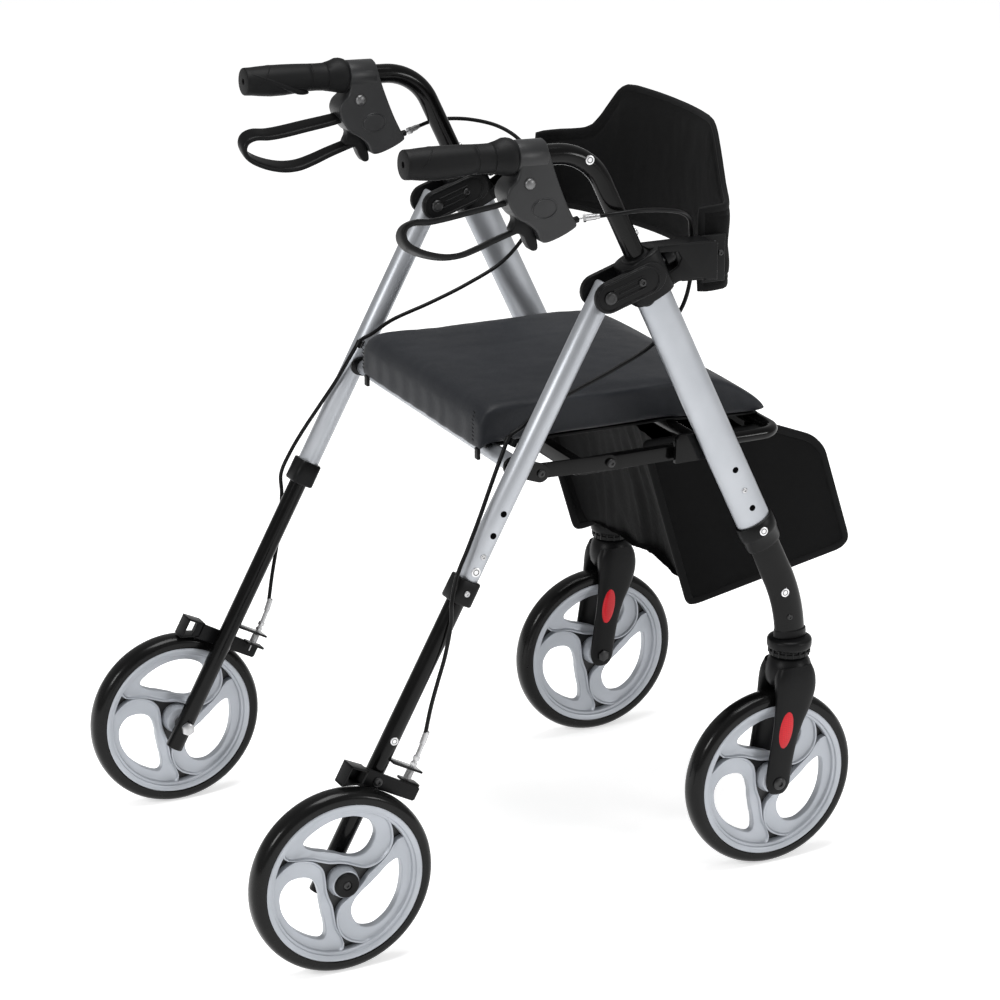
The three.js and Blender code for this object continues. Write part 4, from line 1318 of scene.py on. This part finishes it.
def makeHandles():
    tube = swept(handlePath(), oval(handle["radius"], handle["radius"], 64))
    placePair("handle_tube", tube, "glossBlack", "handle_{}", "handle_tube", "gloss_black")
    badge("handle", (sideX + 10.9, -21.4, 856), "handle_{}", 5)
    button = turned([(0, -1), (4.2, -1), (4.2, 1.2), (3.2, 2.6), (0, 3.2)], frontAt(10.4, 0, -38), frontAhead)
    placePair("height_button", button, "steel", "handle_{}", None, "steel")
    makeGrip()
    makeHousing()
    makeLever()
    print("handles made")


cable = {"radius": 2.3}
upperRoute = [
    (222, -17, 793.5), (228, -4, 795.4), (233.6, 12, 797), (235, 34, 797.4), (231.6, 62, 794),
    (222, 90, 786), (207, 109, 773), (193, 119, 755), (188, 123, 730),
]
middleRoute = [
    (188, 123, 730), (186, 123, 698), (185, 112, 665), (185, 80, 632), (185, 33, 610), (186, -15, 593),
    (190, -60, 578), (194, -85, 563),
]
lowerRoute = [
    (-16, -19, 180), (-17, -15.5, 200), (-17, -9, 235), (-18, 0, 270), (-19.5, 8, 305), (-20, 13, 336),
    (-15.5, 19.5, 364), (-4, 18, 386), (9, 13.5, 420), (17, 10, 450), (25, 7, 480), (34, 5, 508),
]


def makeCables():
    section = oval(cable["radius"], cable["radius"], 16)
    curve = smoothed([*upperRoute, *middleRoute[1:], *[rearAt(*p) for p in lowerRoute]], 8)
    cut = (len(upperRoute) - 1) * 8
    # Each part's points, the bodies at its ends, and two places along its route; only the name and the points
    # are used.
    spans = (
        ("upper", curve[: cut + 1], "handle_{}", "front_frame", upperRoute[0], upperRoute[-1]),
        ("lower", curve[cut:], "front_frame", "rear_frame", middleRoute[2], (190, -70, 570)),
    )
    length = 0
    for name, points, first, second, start, end in spans:
        length += sum((b - a).length for a, b in zip(points, points[1:]))
        for side, sign in (("R", 1), ("L", -1)):
            bm = swept(points, section)
            nodes = [f"brake_cable_{side}"] if name == "upper" else ()
            bm = mirrored(bm) if side == "L" else bm
            piece = place(f"brake_cable_{name}_{side}", bm, "cable", None, nodes, "cable", 60)
            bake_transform(piece)
    print("brake cable length, mm:", round(length))

    first = Vector(upperRoute[0])
    way = (Vector(upperRoute[1]) - first).normalized()
    fitting = joined(
        rod(first - way * 7, first + way * 5, 3.4, 0.6),
        turned([(0, 0), (4.6, 0), (4.6, 3), (0, 3)], first - way * 9, way, 6),
        rod(first + way * 4, first + way * 9, 2.8, 0.4),
        rod(first - way * 20, first - way * 3, 0.9, 0.1, 12),
    )
    placePair("cable_end", fitting, "steel", "handle_{}", None, "steel")
    stub = rod(Vector((sideX + 1, -42, 789)), first - way * 14, 3.6, 0.8)
    placePair("cable_stub", stub, "plastic", "handle_{}", None, "plastic")
    clip = joined(
        turned([(2.4, -4), (3.9, -4), (3.9, 4), (2.4, 4)], rearAt(-16, -19, 184), rearDown, 24, True),
        moved(block((-15, -16.5, 180), (-8, -10.5, 188), 0.8), onRear),
    )
    placePair("cable_clip", clip, "plastic", "rear_frame", None, "plastic")
    print("cables made")


fold = {"pivot": (108, 505), "half": 8.0, "wall": 2.2, "back": -10, "knee": (22, 508)}


def makeFold():
    # Two folded channels and a third across their rear ends, open inwards.
    y0, z0 = fold["pivot"]
    half, wall, back = fold["half"], fold["wall"], fold["back"]
    bottom, top = z0 - half, z0 + half
    arm = joined(
        plate(capsule((y0, z0), (back, z0), half), 189.6, 192, 0.5),
        block((180, back, top - wall), (191.6, y0, top), 0.5),
        block((180, back, bottom), (191.6, y0, bottom + wall), 0.5),
    )
    across = joined(
        block((-190, -18, bottom), (190, -15.6, top), 0.5),
        block((-190, -17, top - wall), (190, -6, top), 0.5),
        block((-190, -17, bottom), (190, -6, bottom + wall), 0.5),
    )
    seatFrame = joined(across, mirrored(arm.copy()), arm)
    place("seat_frame", seatFrame, "glossBlack", "seat_frame", ["seat_frame"], "gloss_black")
    pins = joined(*[boltHead((sign * 192, y0, z0), (sign, 0, 0), 5.2, 3) for sign in (1, -1)])
    place("seat_frame_pins", pins, "darkSteel", "seat_frame", (), "steel")

    strip = plate(capsule(fold["knee"], linkFoot.yz, 8.6), 193.2, 196.2, 0.5)
    rivet = rod((195.8, *fold["knee"]), (198.8, *fold["knee"]), 5.2, 0.8)
    placePair("fold_link", joined(strip, rivet), "glossBlack", "fold_link_{}", "fold_link", "gloss_black")
    heads = (("knee", "fold_link_{}", (198.8, *fold["knee"])), ("rear", "rear_frame", (203.4, *linkFoot.yz)))
    for name, body, at in heads:
        head = boltHead(at, (1, 0, 0), 4.6, 2.4)
        placePair(f"fold_link_{name}_bolt", head, "darkSteel", body, None, "steel")
    print("fold made")


seat = {"voxel": 0.0052, "pressure": 4.0, "cap": 0.0022, "frames": 20, "halfWidth": 156.5}


def settled(name, bm):
    # Remeshes a closed shape, in metres, and blows it up a little as cloth.
    # No point moves further than the cap.
    mesh = bpy.data.meshes.new(name)
    bm.to_mesh(mesh)
    bm.free()
    pad = bpy.data.objects.new(name, mesh)
    scene.collection.objects.link(pad)
    remesh = pad.modifiers.new("remesh", "REMESH")
    remesh.mode = "VOXEL"
    remesh.voxel_size = seat["voxel"]
    soften = pad.modifiers.new("soften", "SMOOTH")
    soften.iterations = 8
    applyModifiers(pad)
    rest = [v.co.copy() for v in pad.data.vertices]
    cloth = pad.modifiers.new("cloth", "CLOTH")
    cloth.settings.use_pressure = True
    cloth.settings.uniform_pressure_force = seat["pressure"]
    cloth.settings.effector_weights.gravity = 0
    cloth.settings.quality = 6
    cloth.point_cache.frame_end = seat["frames"]
    for step in range(1, seat["frames"] + 1):
        scene.frame_set(step)
    applyModifiers(pad)
    scene.frame_set(1)
    for vert, before in zip(pad.data.vertices, rest):
        away = vert.co - before
        if away.length > seat["cap"]:
            vert.co = before + away * (seat["cap"] / away.length)
    result = bmesh.new()
    result.from_mesh(pad.data)
    bpy.data.objects.remove(pad)
    return result


def applyModifiers(piece):
    bpy.context.view_layer.update()
    evaluated = piece.evaluated_get(bpy.context.evaluated_depsgraph_get())
    mesh = bpy.data.meshes.new_from_object(evaluated)
    piece.modifiers.clear()
    piece.data = mesh


def seatBlank():
    # The seat's solid in metres, drawn in a little so that it can swell back to its size.
    edge = [
        (-113, 524.5), (-107, 532.4), (60, 532), (124, 530.6), (205, 523), (244, 520.6), (247, 522.6),
        (238, 533), (222, 545), (196, 560), (160, 570), (90, 574), (0, 575.4), (-100, 576.4),
        (-112, 571), (-118, 558), (-118.6, 541), (-118, 527),
    ]
    smooth = [(p.y, p.z) for p in smoothed([(0, y, z) for y, z in edge], 3, closed=True)]
    return moved(plate(smooth, -seat["halfWidth"], seat["halfWidth"], 5.5, 4), toMetres)


def makeSeat():
    pad = moved(settled("seat_shape", seatBlank()), toMetres.inverted())
    for vert in pad.verts:
        x, y, z = vert.co
        # the cover is pulled down and tucked at the rear corners
        corner = math.exp(-(((abs(x) - 152) / 12) ** 2) - ((y + 112) / 12) ** 2)
        vert.co.z -= corner * 3.0 * max(0, (z - 545) / 30)
        ease = 0.7 * noise.noise(Vector((x / 46, y / 52, 1.7)))
        ease += 0.35 * noise.noise(Vector((x / 15, y / 17, 5.2)))
        vert.co.z += ease * (1 if z > 560 else 0.4)
        if z < 556:
            # small gathers round the lower edge
            pucker = math.sin((x + y) / 5.4 + 2 * noise.noise(Vector((x / 30, y / 30, 0)))) * 0.5
            vert.co.x += math.copysign(pucker, x) if abs(x) > 140 else 0
            vert.co.y -= pucker if y < -100 else 0
    bmesh.ops.recalc_face_normals(pad, faces=pad.faces)
    cushion = place("seat_cushion", pad, "leatherette", "seat", ["seat"], "leatherette", 70)
    smooth = cushion.modifiers.new("smooth", "SUBSURF")
    smooth.levels = smooth.render_levels = 1

    stitches = []
    for sign in (1, -1):
        for i in range(8):
            z = 540 + i * 4.4
            at = Vector((sign * 145, -119 + max(0, (z - 562) / 5), z))
            stitches.append(rod(at + Vector((-1.8, 0, 0.6)), at + Vector((1.8, 0, -0.6)), 0.55, 0.2, 8))
    place("seat_stitches", joined(*stitches), "binding", "seat", (), "leatherette")
    tabs = [block((sign * 146 - 4, -116, 517), (sign * 146 + 4, -112, 530), 1) for sign in (1, -1)]
    place("seat_tabs", joined(*tabs), "plastic", "seat", (), "plastic")
    under = [
        (-104, 528.4), (120, 526.6), (200, 519.8), (236, 518), (236, 520), (200, 521.8), (120, 529.4),
        (-104, 531.4),
    ]
    board = plate(under, -146, 146, 0.6)
    place("seat_board", board, "plastic", "seat", (), "plastic")
    print("seat made")


bag = {"half": 142.0, "panelAt": 139.2, "corner": 9}
bagEdge = [
    (93, 503), (154, 301.5), (165, 300.5), (355, 336.6), (364.6, 346), (327.6, 461.5), (312, 477.6),
    (262, 497.6), (243, 501),
]


def bagOutline(inset):
    # The side panel's edge with its corners rounded, drawn in a little.
    corners = [Vector((0, y, z)) for y, z in bagEdge]
    line = []
    for i, corner in enumerate(corners):
        ends = []
        for other in (corners[i - 1], corners[(i + 1) % len(corners)]):
            ends.append(corner.lerp(other, min(0.4, bag["corner"] / (other - corner).length)))
        for step in range(5):
            t = step / 4
            line.append(ends[0].lerp(corner, t).lerp(corner.lerp(ends[1], t), t))
    result = []
    for i, point in enumerate(line):
        along = (line[(i + 1) % len(line)] - line[i - 1]).normalized()
        result.append(point + Vector((0, -along.z, along.y)) * inset)
    return result


def bagPanel():
    # One side panel, flat and cut into small squares.
    bm = bmesh.new()
    polyline(bm, bagOutline(1.5), True)
    bmesh.ops.triangle_fill(bm, use_beauty=True, edges=bm.edges[:])
    bmesh.ops.dissolve_faces(bm, faces=bm.faces[:])
    cuts = [((0, y, 0), (0, 1, 0)) for y in range(90, 370, 9)]
    cuts += [((0, 0, z), (0, 0, 1)) for z in range(300, 505, 9)]
    for at, normal in cuts:
        geom = bm.verts[:] + bm.edges[:] + bm.faces[:]
        bmesh.ops.bisect_plane(bm, geom=geom, plane_co=at, plane_no=normal)
    return bm


def edgeDistance(point, line):
    best = 1e9
    for a, b in zip(line, line[1:] + line[:1]):
        span = b - a
        t = max(0, min(1, (point - a).dot(span) / max(span.length_squared, 1e-9)))
        best = min(best, (a + span * t - point).length)
    return best


def makeBagPanels():
    line = bagOutline(1.5)
    for side, sign in (("R", 1), ("L", -1)):
        bm = bagPanel()
        made = bmesh.ops.extrude_face_region(bm, geom=bm.faces[:])
        bmesh.ops.translate(bm, vec=(1, 0, 0), verts=newVerts(made))
        flat = bm.loops.layers.uv.new("flat")
        for face in bm.faces:
            for corner in face.loops:
                corner[flat].uv = (corner.vert.co.y / 1000, corner.vert.co.z / 1000)
        for vert in bm.verts:
            outer = vert.co.x > 0.5
            near = edgeDistance(Vector((0, vert.co.y, vert.co.z)), line)
            swell = 1 - math.exp(-near / 14)
            warp = noise.noise(Vector((vert.co.y / 60, vert.co.z / 60, sign * 3))) * 1.4 * swell
            thick = 1.2 + 1.3 * swell - 0.8 * math.exp(-(((near - 7.5) / 2) ** 2))
            vert.co.x = sign * (bag["panelAt"] + (thick if outer else -thick) + warp)
        bmesh.ops.recalc_face_normals(bm, faces=bm.faces)
        nodes = ["bag"] if side == "R" else ()
        panel = place(f"bag_panel_{side}", bm, "fabric", "front_frame", nodes, "fabric", 60)
        edge = [p + Vector((sign * bag["panelAt"], 0, 0)) for p in bagOutline(2.4)]
        tape = swept(edge, oval(2.5, 4.6, 16, 3), closed=True)
        place(f"bag_binding_{side}", tape, "binding", "front_frame", (), "fabric", 60)


def makeGusset():
    # The strip between the panels: from the rear rim, down, under and up the front to the flap.
    key = [
        (108, 500), (124, 440), (147, 368), (166, 316), (180, 311), (260, 325), (345, 341), (352, 350),
        (336, 402), (318, 452), (306, 467), (262, 486), (243, 490),
    ]
    path = smoothed([(0, y, z) for y, z in key], 10)
    rows = len(path) - 1
    columns = 56
    half = bag["half"] - 5
    bm = bmesh.new()
    bmesh.ops.create_grid(bm, x_segments=columns, y_segments=rows, size=0.5)
    flat = bm.loops.layers.uv.new("flat")
    run = [0]
    for a, b in zip(path, path[1:]):
        run.append(run[-1] + (b - a).length)
    for face in bm.faces:
        for corner in face.loops:
            u, v = corner.vert.co.x * 2 * half, run[round((corner.vert.co.y + 0.5) * rows)]
            corner[flat].uv = (u / 1000, v / 1000)
    for vert in bm.verts:
        u, i = vert.co.x * 2, round((vert.co.y + 0.5) * rows)
        at = path[i]
        along = (path[min(i + 1, rows)] - path[max(i - 1, 0)]).normalized()
        inward = Vector((0, -along.z, along.y))
        middle = 1 - u * u
        t = i / rows
        loose = math.exp(-(((t - 0.16) / 0.16) ** 2))
        folds = noise.noise(Vector((u * 3.6 + t * 5, t * 3.0, 2.4))) * 9
        folds += abs(noise.noise(Vector((u * 7 + t * 9, t * 5, 6.1)))) * 6
        sag = middle * (10 * loose + 3) + folds * min(1, 4 * (1 - abs(u))) * (0.25 + 0.75 * loose)
        vert.co = at + inward * sag + Vector((u * half, 0, 0))
    bmesh.ops.solidify(bm, geom=bm.faces[:], thickness=-1.2)
    bmesh.ops.recalc_face_normals(bm, faces=bm.faces)
    gusset = place("bag_gusset", bm, "fabric", "front_frame", (), "fabric", 70)
    # cut wider and longer than the way round, by what the crumples take up
    flat = (2 * half / 1000 * 1.03, run[-1] / 1000 * 1.02)
    print("gusset, mm:", round(2 * half), round(run[-1]))


def makeBagBar():
    y, z, x = 235, 512, 194.2
    right, left = Vector((x, y, z)), Vector((-x, y, z))
    start, end = Vector((x, 150, z)), Vector((-x, 150, z))
    path = [start, *roundCorner(start, right, left, 22, 14), *roundCorner(right, left, end, 22, 14), end]
    place("bag_bar", swept(path, oval(7, 7, 32)), "glossBlack", "front_frame", ["bag_bar"], "gloss_black")
    loops = []
    turns = [math.tau * i / 24 for i in range(24)]
    for centre in (-118, -40, 40, 118):
        ring = [(centre, y + 8.6 * math.cos(a), z + 8.6 * math.sin(a)) for a in turns]
        strap = swept(ring, oval(11, 0.8, 12, 4), closed=True)
        tail = block((centre - 11, y + 6.4, z - 20), (centre + 11, y + 8, z - 3), 0.5)
        loops += [strap, tail]
    place("bag_straps", joined(*loops), "binding", "front_frame", (), "fabric", 60)
    print("bag made")


makeFinishes()
makeStudio()
makeWheels()
makeForks()
makeFrontLegs()
makeRearLegs()
makeWheelBrakes()
makeTopBrackets()
makeBackrestArms()
makeBackrest()
makeHandles()
makeCables()
makeFold()
makeSeat()
makeBagPanels()
makeGusset()
makeBagBar()
